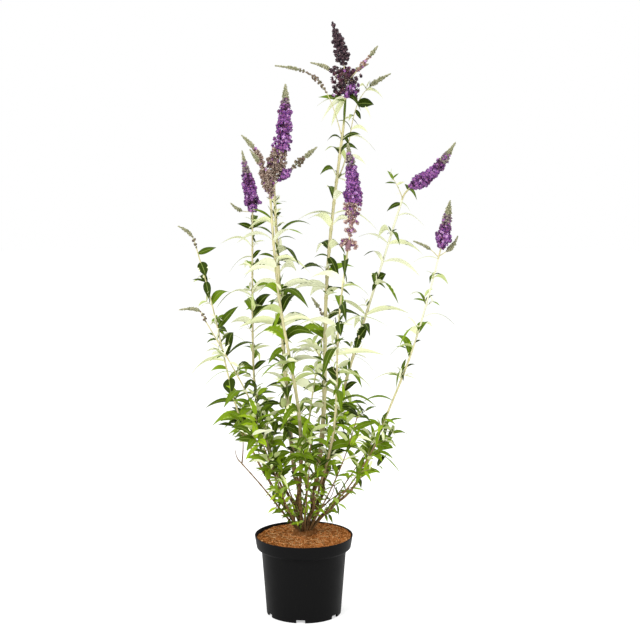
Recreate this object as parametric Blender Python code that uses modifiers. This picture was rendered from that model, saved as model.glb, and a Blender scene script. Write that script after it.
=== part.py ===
"""A potted butterfly bush: a black nursery pot filled with compost, a woody stool, ten canes that
fan out of it, each with paired arching leaves and a flower head, and short leafy shoots at the foot.

Metres, +Z up, +X to the right of the front view and -Y towards the viewer. The origin is the
middle of the pot's flat underside.
"""

import math
import random
from collections import namedtuple

import bmesh
import bpy
import numpy as np
from mathutils.bvhtree import BVHTree

# Clear gap between neighbouring solids.
GAP = 0.0003

# Pot: radii and heights of its turned profile.
POT_SEGMENTS = 40
POT_HEIGHT = 0.188
POT_WALL = 0.0025
FOOT_RADIUS = 0.0876
NECK_RADIUS = 0.0994
NECK_HEIGHT = 0.154
BAND_RADIUS = 0.1106
BAND_HEIGHT = 0.160
STEP_RISE = 0.0016
RIM_RADIUS = 0.115
FOOT_RING = 0.0035
CHANNEL_INNER = 0.056
CHANNEL_DEPTH = 0.009
NOTCH_COUNT = 6
NOTCH_WIDTH = 0.021
NOTCH_HEIGHT = 0.0078
NOTCH_TURN = math.radians(-94.5)
DRAIN_COUNT = 6
DRAIN_SIZE = (0.014, 0.005)
DRAIN_RADIUS = 0.071

# Compost: its level under the stool, at the pot's wall, and the height of the ring between.
COMPOST_LEVEL = 0.1837
COMPOST_EDGE = 0.1805
COMPOST_CROWN = 0.1865
SEAT_RADIUS = 0.036

# Stool: the knobbly woody foot that every stem springs from.
STOOL_CENTRE = (0.003, 0.0)
STOOL_RADII = (0.029, 0.027, 0.021)
STOOL_CUT = COMPOST_LEVEL + GAP
STOOL_MIDDLE = 0.189
HEART_HEIGHT = 0.196
FOOT_HEIGHT = 0.214

# Leaves: share of their length for breadth and thickness, and where the broadest part lies. Rise
# from the stem and roll about the midrib are in degrees, droop is the fall at the tip in lengths.
LEAF_BREADTH = 0.25
LEAF_THICKNESS = 0.024
LEAF_WAIST = 0.42
LEAF_RISE = (46, 66)
LEAF_DROOP = (0.34, 0.72)
LEAF_ROLL = (10, 70)
LEAF_TRIES = (0, 22, -22, 44, -44)
LEAF_CLEARANCE = 0.0005

# The length of a leaf by its share of the way up a stem: (shares, lengths).
CANE_LEAVES = ((0, 0.35, 0.82, 1), (0.066, 0.110, 0.110, 0.070))
SHOOT_LEAVES = ((0, 1), (0.060, 0.042))
SIDE_LEAVES = ((0, 1), (0.064, 0.052))
BRACT_LEAVES = ((0, 1), (0.058, 0.048))
SHOOT_SPACING = 0.034
BRACT_SPACING = 0.026
BRACT_START = 0.006

# Lengths with no leaves at the foot and tip of a cane and of a low shoot.
CANE_BARE = (0.012, 0.010)
SHOOT_BARE = (0.055, 0.0)

# Whorls of blossom: how far apart they stand on a spike.
WHORL_SPACING = 0.017

# A stem's route: its foot on the stool, the points it passes, and its tip. knee is the height where
# the bare bough ends and the leafy cane begins, girths are radii at foot, knee and tip. spacing is
# from one pair of leaves to the next, and size scales the leaves.
Cane = namedtuple("Cane", "name foot via tip knee girths spacing size turn seed")
CANES = (
    Cane("left_outer", (-0.018, -0.006), ((-0.124, -0.020, 0.406), (-0.206, 0.030, 0.701)),
         (-0.247, 0.050, 0.852), 0.345, (0.0043, 0.0032, 0.0017),
         0.046, 0.74, 20, 11),
    Cane("left_front", (-0.015, -0.020), ((-0.093, -0.090, 0.462), (-0.160, -0.130, 0.615)),
         (-0.209, -0.150, 0.706), 0.335, (0.0038, 0.0029, 0.0015),
         0.048, 0.86, 70, 12),
    Cane("left", (-0.010, 0.008), ((-0.094, 0.065, 0.404), (-0.122, 0.110, 0.656)),
         (-0.122, 0.140, 0.932), 0.320, (0.0045, 0.0037, 0.0022),
         0.052, 0.95, 5, 13),
    Cane("left_middle", (-0.003, -0.024), ((-0.006, -0.078, 0.440), (-0.049, -0.105, 0.733)),
         (-0.071, -0.110, 0.981), 0.350, (0.0040, 0.0036, 0.0022),
         0.056, 1.00, 50, 14),
    Cane("centre_left", (-0.003, -0.008), ((-0.030, -0.045, 0.440), (-0.053, -0.060, 0.773)),
         (-0.064, -0.070, 0.995), 0.335, (0.0055, 0.0044, 0.0025),
         0.054, 1.00, 0, 15),
    Cane("centre", (0.010, 0.006), ((0.038, 0.030, 0.371), (0.052, 0.046, 0.740)),
         (0.088, 0.055, 1.105), 0.330, (0.0052, 0.0045, 0.0026),
         0.056, 1.00, 35, 16),
    Cane("centre_front", (0.009, -0.021), ((0.063, -0.085, 0.420), (0.078, -0.150, 0.690)),
         (0.098, -0.190, 0.876), 0.325, (0.0040, 0.0034, 0.0020),
         0.052, 1.00, 80, 17),
    Cane("right_back", (0.020, 0.014), ((0.074, 0.074, 0.430), (0.147, 0.110, 0.692)),
         (0.231, 0.120, 0.964), 0.340, (0.0043, 0.0036, 0.0020),
         0.056, 0.95, 15, 18),
    Cane("right", (0.025, -0.006), ((0.106, -0.040, 0.300), (0.172, -0.060, 0.439), (0.238, -0.090, 0.618)),
         (0.299, -0.120, 0.849), 0.290, (0.0041, 0.0033, 0.0019),
         0.066, 0.88, 60, 19),
    Cane("back", (0.003, 0.023), ((0.004, 0.110, 0.340), (0.028, 0.175, 0.540)),
         (0.050, 0.200, 0.655), 0.300, (0.0038, 0.0028, 0.0015),
         0.046, 0.84, 25, 20),
)

# Short leafy shoots of the foot, from the stool's edge through one point to their tip.
Shoot = namedtuple("Shoot", "name foot via tip girths turn seed")
SHOOTS = (
    Shoot("low_left", (-0.024, -0.015), (-0.095, -0.060, 0.318), (-0.148, -0.082, 0.386),
          (0.0019, 0.0009), 10, 41),
    Shoot("low_left_back", (-0.023, 0.003), (-0.096, 0.022, 0.352), (-0.135, 0.034, 0.470),
          (0.0019, 0.0010), 80, 42),
    Shoot("low_left_front", (-0.015, -0.030), (-0.066, -0.100, 0.360), (-0.105, -0.125, 0.470),
          (0.0019, 0.0010), 40, 43),
    Shoot("low_front", (0.003, -0.032), (0.012, -0.100, 0.350), (0.018, -0.125, 0.450),
          (0.0019, 0.0010), 75, 44),
    Shoot("low_right_front", (0.018, -0.026), (0.088, -0.080, 0.375), (0.125, -0.100, 0.500),
          (0.0020, 0.0010), 30, 45),
    Shoot("low_right_outer", (0.027, -0.017), (0.104, -0.062, 0.318), (0.172, -0.078, 0.432),
          (0.0019, 0.0010), 0, 46),
    Shoot("low_right", (0.031, 0.004), (0.112, 0.010, 0.330), (0.172, 0.025, 0.420),
          (0.0019, 0.0009), 65, 47),
    Shoot("low_back_right", (0.014, 0.026), (0.062, 0.120, 0.340), (0.090, 0.165, 0.450),
          (0.0019, 0.0010), 15, 48),
    Shoot("low_back_left", (-0.009, 0.023), (-0.060, 0.110, 0.330), (-0.095, 0.155, 0.440),
          (0.0019, 0.0010), 55, 49),
)

# A spike of blossom: start is its share along the head's first spike (0 on the first itself), then
# the point it passes and its tip. Each run of blossom is (from, to, breadth) in shares of the spike.
Spike = namedtuple("Spike", "start via tip runs")
HEADS = {
    "left_outer": (
        Spike(0, (-0.261, 0.050, 0.888), (-0.291, 0.050, 0.908), ((0.10, 0.50, 0.012), (0.50, 1, 0.010))),
    ),
    "left_front": (
        Spike(0, (-0.224, -0.152, 0.735), (-0.272, -0.160, 0.741), ((0.12, 0.45, 0.012), (0.46, 1, 0.009))),
    ),
    "left": (
        Spike(0, (-0.132, 0.140, 1.010), (-0.146, 0.140, 1.080), ((0.05, 1, 0.039),)),
        Spike(0.02, (-0.149, 0.130, 0.938), (-0.173, 0.120, 0.957), ((0.45, 1, 0.009),)),
    ),
    "left_middle": (
        Spike(0, (-0.084, -0.118, 1.040), (-0.115, -0.130, 1.090), ((0.02, 0.66, 0.027), (0.64, 1, 0.013))),
        Spike(0.55, (-0.106, -0.102, 1.094), (-0.135, -0.090, 1.120), ((0.30, 1, 0.013),)),
    ),
    "centre_left": (
        Spike(0, (-0.046, -0.075, 1.110), (-0.038, -0.080, 1.232), ((0.03, 1, 0.039),)),
        Spike(0.10, (-0.018, -0.088, 1.060), (0.032, -0.100, 1.095), ((0.20, 0.55, 0.025), (0.56, 1, 0.012))),
    ),
    "centre": (
        Spike(0, (0.091, 0.060, 1.285), (0.066, 0.060, 1.373), ((0.37, 0.60, 0.060), (0.64, 1, 0.032))),
        Spike(0.02, (0.012, 0.020, 1.256), (-0.063, 0.000, 1.273), ((0.45, 0.70, 0.014), (0.70, 1, 0.010))),
        Spike(0.45, (0.050, 0.085, 1.272), (0.015, 0.100, 1.282), ((0.45, 1, 0.013),)),
        Spike(0.48, (0.128, 0.040, 1.268), (0.169, 0.020, 1.318), ((0.35, 0.68, 0.014), (0.68, 1, 0.011))),
        Spike(0.50, (0.118, 0.085, 1.262), (0.150, 0.100, 1.279), ((0.40, 1, 0.011),)),
    ),
    "centre_front": (
        Spike(0, (0.109, -0.192, 0.985), (0.097, -0.200, 1.106),
              ((0, 0.11, 0.030), (0.15, 0.22, 0.021), (0.23, 0.30, 0.024), (0.31, 1, 0.039))),
    ),
    "right_back": (
        Spike(0, (0.282, 0.115, 1.013), (0.354, 0.100, 1.100), ((0.20, 1, 0.040),)),
        Spike(0.02, (0.217, 0.100, 1.001), (0.195, 0.090, 1.034), ((0.35, 1, 0.010),)),
    ),
    "right": (
        Spike(0, (0.313, -0.124, 0.915), (0.323, -0.130, 0.980), ((0.10, 1, 0.040),)),
        Spike(0.03, (0.280, -0.130, 0.872), (0.242, -0.140, 0.891), ((0.40, 1, 0.008),)),
        Spike(0.05, (0.330, -0.110, 0.876), (0.344, -0.100, 0.899), ((0.35, 1, 0.011),)),
    ),
    "back": (
        Spike(0, (0.040, 0.202, 0.690), (0.017, 0.200, 0.723), ((0.15, 0.55, 0.013), (0.55, 1, 0.010))),
    ),
}

# Radii of a head's stalk at its foot and tip.
STALK_GIRTHS = (0.0015, 0.0007)

# The side shoot that leaves the centre cane at a height: the points it passes up to the tip of its
# spike, its radii, and its run of blossom in shares of its line.
SIDE_START = 1.020
SIDE_POINTS = ((0.108, 0.083, 1.118), (0.150, 0.130, 1.224), (0.204, 0.140, 1.258))
SIDE_GIRTHS = (0.0016, 0.0008)
SIDE_BLOSSOM = (0.82, 1, 0.012)
SIDE_BARE = 0.030
SIDE_TURN = 40
SIDE_SEED = 61

# A leafy stem: its line, its bare lengths at foot and tip, its radii there, and its leaves.
Stem = namedtuple("Stem", "line bare girths leaves")
Leaves = namedtuple("Leaves", "spacing lengths size turn seed")


class Line:
    """A line of points, measured along its own length."""

    def __init__(self, points):
        self.points = np.asarray(points, float)
        steps = np.linalg.norm(np.diff(self.points, axis=0), axis=1)
        self.along = np.concatenate([[0], np.cumsum(steps)])
        self.length = float(self.along[-1])

    def at(self, distance):
        """The point, or points, at a distance from the start."""
        return np.stack([np.interp(distance, self.along, self.points[:, axis]) for axis in range(3)], axis=-1)

    def direction(self, distance):
        """The unit tangent at a distance from the start."""
        tangent = self.at(min(distance + 0.002, self.length)) - self.at(max(distance - 0.002, 0))
        return tangent / np.linalg.norm(tangent)

    def at_height(self, height):
        """The distance at which the line rises through a height."""
        return float(np.interp(height, self.points[:, 2], self.along))

    def part(self, start, end, count):
        """The stretch between two distances: evenly spaced points, with one more close to each end.

        The short last steps follow the line's own heading, so that a limb's ends are cut square to it.
        """
        spaced = np.linspace(start, end, count)
        return Line(self.at(np.concatenate([[start, start + 0.002], spaced[1:-1], [end - 0.002, end]])))


def smooth_line(points, samples=240):
    """The natural cubic spline through a few points, over its chord length."""
    points = np.array(points, float)
    knots = np.concatenate([[0], np.cumsum(np.linalg.norm(np.diff(points, axis=0), axis=1))])
    step = np.diff(knots)
    slopes = np.diff(points, axis=0) / step[:, None]
    system = np.eye(len(points))
    known = np.zeros((len(points), 3))
    for i in range(1, len(points) - 1):
        system[i, i - 1:i + 2] = (step[i - 1], 2 * (step[i - 1] + step[i]), step[i])
        known[i] = 6 * (slopes[i] - slopes[i - 1])
    bend = np.linalg.solve(system, known)
    where = np.linspace(0, knots[-1], samples)
    span = np.clip(np.searchsorted(knots, where, side="right") - 1, 0, len(points) - 2)
    size = step[span][:, None]
    after = (where - knots[span])[:, None] / size
    before = 1 - after
    straight = before * points[span] + after * points[span + 1]
    curved = (before ** 3 - before) * bend[span] + (after ** 3 - after) * bend[span + 1]
    return Line(straight + curved * size ** 2 / 6)


def material(name, colour, roughness, metallic=0.0):
    made = bpy.data.materials.new(name)
    made.use_nodes = True
    shader = made.node_tree.nodes["Principled BSDF"]
    shader.inputs["Base Color"].default_value = (*colour, 1)
    shader.inputs["Roughness"].default_value = roughness
    shader.inputs["Metallic"].default_value = metallic
    made.diffuse_color = (*colour, 1)
    return made


def add_object(name, mesh, collection, look=None):
    made = bpy.data.objects.new(name, mesh)
    if look:
        mesh.materials.clear()
        mesh.materials.append(look)
    collection.objects.link(made)
    return made


def new_collection(name):
    made = bpy.data.collections.new(name)
    bpy.context.scene.collection.children.link(made)
    return made


def shade_round(mesh, angle=40):
    mesh.shade_smooth()
    mesh.set_sharp_from_angle(angle=math.radians(angle))


def mesh_of(made):
    """A mesh of the object as its modifiers or its bevel leave it."""
    bpy.context.view_layer.update()
    graph = bpy.context.evaluated_depsgraph_get()
    return bpy.data.meshes.new_from_object(made.evaluated_get(graph))


def weld_caps(mesh):
    """Makes one closed skin of a curve's sides and its loose caps."""
    shell = bmesh.new()
    shell.from_mesh(mesh)
    bmesh.ops.remove_doubles(shell, verts=shell.verts, dist=0.00001)
    bmesh.ops.recalc_face_normals(shell, faces=shell.faces)
    shell.to_mesh(mesh)
    shell.free()


def tube(name, centres, radii, sides, collection, look=None):
    """A tapering round limb: a curve whose bevel follows the radii, made a mesh. sides is even."""
    data = bpy.data.curves.new(name, "CURVE")
    data.dimensions = "3D"
    data.bevel_depth = max(radii)
    data.bevel_resolution = (sides - 4) // 2
    data.use_fill_caps = True
    spline = data.splines.new("POLY")
    spline.points.add(len(centres) - 1)
    for point, centre, radius in zip(spline.points, centres, radii):
        point.co = (*centre, 1)
        point.radius = radius / max(radii)
    curve = add_object(name, data, collection)
    mesh = mesh_of(curve)
    weld_caps(mesh)
    shade_round(mesh)
    matrix = curve.matrix_world.copy()
    bpy.data.objects.remove(curve)
    made = add_object(name, mesh, collection, look)
    made.matrix_world = matrix
    return made


def keep_largest_body(mesh):
    """Drops loose scraps and sealed hollows: only the island with the largest box stays."""
    shell = bmesh.new()
    shell.from_mesh(mesh)
    left = set(shell.verts)
    islands = []
    while left:
        ring = [left.pop()]
        island = set(ring)
        while ring:
            for edge in ring.pop().link_edges:
                for vert in edge.verts:
                    if vert not in island:
                        island.add(vert)
                        ring.append(vert)
        left -= island
        islands.append(island)

    def spread(island):
        places = np.array([vert.co for vert in island])
        return float(np.linalg.norm(places.max(axis=0) - places.min(axis=0)))

    islands.sort(key=spread)
    for island in islands[:-1]:
        bmesh.ops.delete(shell, geom=list(island), context="VERTS")
    shell.to_mesh(mesh)
    shell.free()


def apply_boolean(made):
    """Applies the object's modifier, keeps its material, and drops what the cut left loose."""
    mesh = mesh_of(made)
    made.modifiers.clear()
    old = made.data
    look = old.materials[0]
    made.data = mesh
    mesh.materials.clear()
    mesh.materials.append(look)
    bpy.data.meshes.remove(old)
    keep_largest_body(mesh)
    shade_round(mesh)


def join_collection(made, pieces):
    """One Boolean union of the object with a collection of pieces, applied, and the pieces removed."""
    union = made.modifiers.new("join", "BOOLEAN")
    union.operation = "UNION"
    union.operand_type = "COLLECTION"
    union.collection = pieces
    apply_boolean(made)
    for piece in list(pieces.objects):
        bpy.data.objects.remove(piece)
    bpy.data.collections.remove(pieces)


def cut(made, cutter):
    """Takes the cutter's shape out of the object for good."""
    trim = made.modifiers.new("trim", "BOOLEAN")
    trim.operation = "DIFFERENCE"
    trim.object = cutter
    apply_boolean(made)


def turned(name, profile, segments, collection, look):
    """A turned solid: the profile, in (radius, height), screwed a full turn about the upright axis."""
    mesh = bpy.data.meshes.new(name)
    edges = [(i, i + 1) for i in range(len(profile) - 1)]
    mesh.from_pydata([(radius, 0, height) for radius, height in profile], edges, [])
    made = add_object(name, mesh, collection, look)
    screw = made.modifiers.new("turn", "SCREW")
    screw.steps = segments
    screw.render_steps = segments
    screw.use_merge_vertices = True
    screw.merge_threshold = 0.00005
    mesh = mesh_of(made)
    bpy.data.objects.remove(made)
    shade_round(mesh)
    return add_object(name, mesh, collection, look)


def box(name, size, place, turn, collection):
    """A cutter: a box whose middle stands at a place, turned about the upright axis."""
    shell = bmesh.new()
    bmesh.ops.create_cube(shell, size=1)
    bmesh.ops.scale(shell, vec=size, verts=shell.verts)
    mesh = bpy.data.meshes.new(name)
    shell.to_mesh(mesh)
    shell.free()
    made = add_object(name, mesh, collection)
    made.location = place
    made.rotation_euler = (0, 0, turn)
    made.display_type = "WIRE"
    made.hide_render = True
    return made


def inner_radius(height):
    """The pot's inside radius at a height: the wall's draught, the step under the band, the band."""
    heights = (0.0, NECK_HEIGHT + STEP_RISE, BAND_HEIGHT + STEP_RISE, POT_HEIGHT)
    radii = (FOOT_RADIUS, NECK_RADIUS, BAND_RADIUS, RIM_RADIUS)
    return float(np.interp(height, heights, radii)) - POT_WALL


def build_pot(parts, cutters, look):
    floor = CHANNEL_DEPTH + POT_WALL
    ring_inner = FOOT_RADIUS - FOOT_RING
    profile = [
        (0.0, POT_WALL),
        (CHANNEL_INNER - POT_WALL, POT_WALL),
        (CHANNEL_INNER - POT_WALL, floor),
        (inner_radius(floor), floor),
        (inner_radius(NECK_HEIGHT + STEP_RISE), NECK_HEIGHT + STEP_RISE),
        (inner_radius(BAND_HEIGHT + STEP_RISE), BAND_HEIGHT + STEP_RISE),
        (inner_radius(POT_HEIGHT), POT_HEIGHT - 0.0006),
        (RIM_RADIUS - POT_WALL * 0.75, POT_HEIGHT),
        (RIM_RADIUS - POT_WALL * 0.25, POT_HEIGHT),
        (RIM_RADIUS, POT_HEIGHT - 0.0006),
        (BAND_RADIUS, BAND_HEIGHT),
        (BAND_RADIUS - 0.0012, BAND_HEIGHT - 0.0016),
        (NECK_RADIUS, NECK_HEIGHT),
        (FOOT_RADIUS, 0.0),
        (ring_inner, 0.0),
        (ring_inner, CHANNEL_DEPTH),
        (CHANNEL_INNER, CHANNEL_DEPTH),
        (CHANNEL_INNER - 0.0005, 0.0),
        (0.0, 0.0),
    ]
    pot = turned("pot", profile, POT_SEGMENTS, parts, look)
    for i in range(NOTCH_COUNT):
        turn = NOTCH_TURN + i * math.tau / NOTCH_COUNT
        place = (FOOT_RADIUS * math.cos(turn), FOOT_RADIUS * math.sin(turn), NOTCH_HEIGHT / 2 - 0.0005)
        size = (0.016, NOTCH_WIDTH, NOTCH_HEIGHT + 0.001)
        box(f"notch_{i}", size, place, turn, cutters)
    for i in range(DRAIN_COUNT):
        turn = NOTCH_TURN + i * math.tau / DRAIN_COUNT
        place = (DRAIN_RADIUS * math.cos(turn), DRAIN_RADIUS * math.sin(turn), CHANNEL_DEPTH + POT_WALL / 2)
        box(f"drain_{i}", (*DRAIN_SIZE, 4 * POT_WALL), place, turn, cutters)
    opened = pot.modifiers.new("notches", "BOOLEAN")
    opened.operation = "DIFFERENCE"
    opened.operand_type = "COLLECTION"
    opened.collection = cutters
    return pot


def build_compost(parts, look):
    """The filling: it follows the pot's inside a gap away, with a flat seat under the stool."""
    floor = CHANNEL_DEPTH + POT_WALL + GAP
    crown_radius = 0.5 * (SEAT_RADIUS + BAND_RADIUS)
    neck = NECK_HEIGHT + STEP_RISE
    band = BAND_HEIGHT + STEP_RISE
    profile = [
        (0.0, COMPOST_LEVEL),
        (SEAT_RADIUS, COMPOST_LEVEL),
        (SEAT_RADIUS + 0.012, COMPOST_LEVEL + 0.0015),
        (crown_radius, COMPOST_CROWN),
        (inner_radius(COMPOST_EDGE) - 0.010, COMPOST_EDGE + 0.0035),
        (inner_radius(COMPOST_EDGE) - GAP, COMPOST_EDGE),
        (inner_radius(band) - GAP, band + GAP / 2),
        (inner_radius(neck) - GAP, neck + GAP),
        (inner_radius(floor) - GAP, floor),
        (CHANNEL_INNER - POT_WALL - GAP, floor),
        (CHANNEL_INNER - POT_WALL - GAP, POT_WALL + GAP),
        (0.0, POT_WALL + GAP),
    ]
    return turned("compost", profile, POT_SEGMENTS // 2, parts, look)


def stool_shape(name, grow, collection, look=None):
    """A knobbly lump with a root flare, cut flat at the compost. grow swells it for a cutter."""
    shell = bmesh.new()
    bmesh.ops.create_uvsphere(shell, u_segments=16, v_segments=10, radius=1)
    for vert in shell.verts:
        around = math.atan2(vert.co.y, vert.co.x)
        knobs = 1 + 0.08 * math.cos(5 * around + 0.6) + 0.05 * math.cos(8 * around + 2.0)
        flare = 1 + 0.16 * max(0.0, 0.25 - vert.co.z)
        bumps = 1 + 0.05 * math.sin(7 * around + 9 * vert.co.z)
        vert.co.x *= (STOOL_RADII[0] * knobs * flare) + grow
        vert.co.y *= (STOOL_RADII[1] * knobs * flare) + grow
        vert.co.z = vert.co.z * (STOOL_RADII[2] * bumps + grow) + STOOL_MIDDLE
        vert.co.x += STOOL_CENTRE[0]
        vert.co.y += STOOL_CENTRE[1]
    whole = shell.verts[:] + shell.edges[:] + shell.faces[:]
    plane = (0, 0, STOOL_CUT - grow)
    bmesh.ops.bisect_plane(shell, geom=whole, plane_co=plane, plane_no=(0, 0, 1), clear_inner=True)
    rim = [edge for edge in shell.edges if edge.is_boundary]
    bmesh.ops.edgenet_fill(shell, edges=rim)
    bmesh.ops.recalc_face_normals(shell, faces=shell.faces)
    mesh = bpy.data.meshes.new(name)
    shell.to_mesh(mesh)
    shell.free()
    shade_round(mesh)
    return add_object(name, mesh, collection, look)


def from_stool(foot):
    """The first two points of a stem: in the stool's heart, and its foot on the stool's crown."""
    heart = (
        STOOL_CENTRE[0] + 0.5 * (foot[0] - STOOL_CENTRE[0]),
        STOOL_CENTRE[1] + 0.5 * (foot[1] - STOOL_CENTRE[1]),
        HEART_HEIGHT,
    )
    return heart, (*foot, FOOT_HEIGHT)


def taper(share, first, last):
    """Radii from first to last, falling faster at the start, as wood swells at its foot."""
    return last + (first - last) * (1 - share) ** 1.6


def limb(name, line, first, last, sides, collection, look=None):
    """A tapering limb along a line, with a ring of its surface at each of the line's points."""
    return tube(name, line.points, taper(line.along / line.length, first, last), sides, collection, look)


def swell(share, slim):
    """Breadth of a run of blossom along it: full near its foot, drawn to a point at its tip."""
    return np.clip(share / 0.10, 0.35, 1) ** 0.7 * (1 - share ** slim) + 0.10


def blossom_run(name, line, run, seed, collection, last):
    """A knobbly spindle of blossom over part of a spike. A run that ends the spike is long and pointed."""
    rng = random.Random(seed)
    start, end, breadth = run
    span = (end - start) * line.length
    rings = max(5, min(13, 2 * round(span / WHORL_SPACING) + 1))
    share = np.linspace(0, 1, rings)
    shape = swell(share, 2.6 if last else 6.0)
    if not last:
        shape *= np.sin(np.pi * np.clip(share, 0.12, 0.88)) ** 0.5
    knobs = np.array([(0.93 if ring % 2 else 1.08) + rng.uniform(-0.06, 0.06) for ring in range(rings)])
    radii = np.maximum(0.5 * breadth * shape * knobs, 0.0007)
    sides = 8 if breadth > 0.036 else 6
    return tube(name, line.at((start + share * (end - start)) * line.length), radii, sides, collection)


def side_line(trunk, trunk_radius):
    """The line of the shoot that leaves the centre cane, its foot a gap clear of the cane's side."""
    start = trunk.at_height(SIDE_START)
    along = trunk.direction(start)
    out = np.array(SIDE_POINTS[0]) - trunk.at(start)
    out -= along * (out @ along)
    out /= np.linalg.norm(out)
    foot = trunk.at(start) + (trunk_radius + 0.6 * GAP + 0.8 * SIDE_GIRTHS[0]) * out
    lead = foot + 0.010 * (0.8 * along + 0.6 * out)
    return smooth_line((foot, lead, *SIDE_POINTS))


def head_line(base, heading, spike):
    """The line of a head's first spike: it sets out from the cane's tip in the cane's heading."""
    lead = np.array(base) + 0.006 * heading
    return smooth_line((base, lead, spike.via, spike.tip))


def stalk_part(main):
    """The stretch of a head's first spike that its stalk fills, a gap clear of the cane."""
    return main.part(GAP, 0.97 * main.length, 7)


def build_head(name, main, spikes, seed, parts, look):
    """A flower head: the stalk and blossom of its first spike, with its side spikes fused on."""
    head = limb(name, stalk_part(main), *STALK_GIRTHS, 6, parts, look)
    pieces = new_collection(name + "_pieces")
    for i, spike in enumerate(spikes):
        line = main
        if i:
            line = smooth_line((main.at(spike.start * main.length), spike.via, spike.tip))
            limb(f"{name}_stalk_{i}", line.part(0, 0.97 * line.length, 4), 0.0011, 0.0006, 4, pieces)
        for j, run in enumerate(spike.runs):
            last = j == len(spike.runs) - 1
            clear = (max(run[0], 0.001 / line.length), *run[1:])
            blossom_run(f"{name}_run_{i}_{j}", line, clear, seed + 10 * i + j, pieces, last)
    join_collection(head, pieces)
    return head


def across_axes(tangent):
    """Two unit directions square to a stem: the first as level as can be and to the right."""
    right = np.array((1.0, 0.0, 0.0)) - tangent * tangent[0]
    right /= np.linalg.norm(right)
    return right, np.cross(tangent, right)


Leaf = namedtuple("Leaf", "root out length droop side up")


def leaf_at(line, distance, radius, azimuth, length, rise, droop, roll):
    """One leaf's frame: its root, first direction, length, droop, and its side and upper directions.

    roll turns the blade about its midrib, away from lying face up.
    """
    tangent = line.direction(distance)
    right, deep = across_axes(tangent)
    radial = math.cos(azimuth) * right + math.sin(azimuth) * deep
    out = math.cos(rise) * tangent + math.sin(rise) * radial
    root = line.at(distance) - 0.8 * radius * out
    side = np.cross(np.array((0.0, 0.0, 1.0)), out)
    side /= max(np.linalg.norm(side), 1e-6)
    up = np.cross(out, side)
    rolled = math.cos(roll) * side + math.sin(roll) * up
    return Leaf(root, out, length, droop, rolled, np.cross(out, rolled))


def leaf_mesh(name, leaf, clearance=0.0):
    """A leaf solid of eight faces: points at root and tip, a flat cross-section at its broadest part.

    The midrib follows root + length * (out * t - upward * droop * t^2).
    """
    shell = bmesh.new()
    bmesh.ops.create_uvsphere(shell, u_segments=4, v_segments=2, radius=1)
    down = np.array((0.0, 0.0, -1.0))
    broad = 0.5 * LEAF_BREADTH * leaf.length + clearance
    thick = 0.5 * LEAF_THICKNESS * leaf.length + clearance
    for vert in shell.verts:
        share = 0.0 if vert.co.z < -0.5 else 1.0 if vert.co.z > 0.5 else LEAF_WAIST
        place = leaf.root + leaf.length * (leaf.out * share + down * leaf.droop * share * share)
        place = place + leaf.side * vert.co.x * broad + leaf.up * vert.co.y * thick
        vert.co = place
    mesh = bpy.data.meshes.new(name)
    shell.to_mesh(mesh)
    shell.free()
    return mesh


def tree_of(meshes):
    """One search tree over the triangles of several meshes in world space."""
    places = []
    faces = []
    for mesh in meshes:
        base = len(places)
        places.extend(vert.co.copy() for vert in mesh.vertices)
        faces.extend(tuple(base + i for i in face.vertices) for face in mesh.polygons)
    return BVHTree.FromPolygons(places, faces, epsilon=0.0)


def box_of(mesh):
    places = np.array([vert.co for vert in mesh.vertices])
    return places.min(axis=0), places.max(axis=0)


class Foliage:
    """Hands out leaves that keep clear of every limb and of every leaf set before them."""

    def __init__(self, limbs):
        self.limbs = {name: tree_of([mesh]) for name, mesh in limbs.items()}
        self.set = []

    def is_free(self, owner, leaf):
        """The leaf from its root's edge outwards, swollen by the clearance, touches nothing."""
        outer = leaf._replace(
            root=leaf.root + 0.10 * leaf.length * leaf.out,
            length=0.90 * leaf.length,
        )
        mesh = leaf_mesh("probe", outer, LEAF_CLEARANCE)
        whole = leaf_mesh("probe", leaf, LEAF_CLEARANCE)
        probe = tree_of([mesh])
        full = tree_of([whole])
        low, high = box_of(whole)
        bpy.data.meshes.remove(mesh)
        bpy.data.meshes.remove(whole)
        for name, tree in self.limbs.items():
            if (probe if name == owner else full).overlap(tree):
                return False
        for other, tree, first, last in self.set:
            if (first > high).any() or (last < low).any():
                continue
            if (probe if other == owner else full).overlap(tree):
                return False
        return True

    def keep(self, owner, leaf):
        mesh = leaf_mesh("kept", leaf)
        self.set.append((owner, tree_of([mesh]), *box_of(mesh)))
        bpy.data.meshes.remove(mesh)


def pairs_along(stem):
    """Opposite pairs of leaves up a stem, each pair a quarter turn from the last, with its own chances."""
    leaves = stem.leaves
    rng = random.Random(leaves.seed)
    lead, tail = stem.bare
    span = stem.line.length - lead - tail
    count = max(2, round(span / leaves.spacing))
    for node in range(count):
        share = (node + 0.5) / count
        distance = lead + span * (share + rng.uniform(-0.15, 0.15) / count)
        radius = taper(distance / stem.line.length, *stem.girths)
        typical = leaves.size * float(np.interp(share, *leaves.lengths))
        for side in range(2):
            azimuth = math.radians(leaves.turn + 90 * node + 180 * side + rng.uniform(-18, 18))
            length = typical * rng.uniform(0.84, 1.14)
            rise = math.radians(rng.uniform(*LEAF_RISE))
            droop = rng.uniform(*LEAF_DROOP)
            roll = math.radians(rng.choice((-1, 1)) * rng.uniform(*LEAF_ROLL))
            yield distance, radius, azimuth, length, rise, droop, roll


def dress(made, stem, foliage):
    """Fuses a stem's leaves on. One that would touch something tries a few turns, or is left out."""
    pieces = new_collection(made.name + "_leaves")
    for index, (distance, radius, azimuth, *shape) in enumerate(pairs_along(stem)):
        for turn in LEAF_TRIES:
            leaf = leaf_at(stem.line, distance, radius, azimuth + math.radians(turn), *shape)
            if foliage.is_free(made.name, leaf):
                foliage.keep(made.name, leaf)
                name = f"{made.name}_leaf_{index}"
                add_object(name, leaf_mesh(name, leaf), pieces)
                break
    join_collection(made, pieces)


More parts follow.
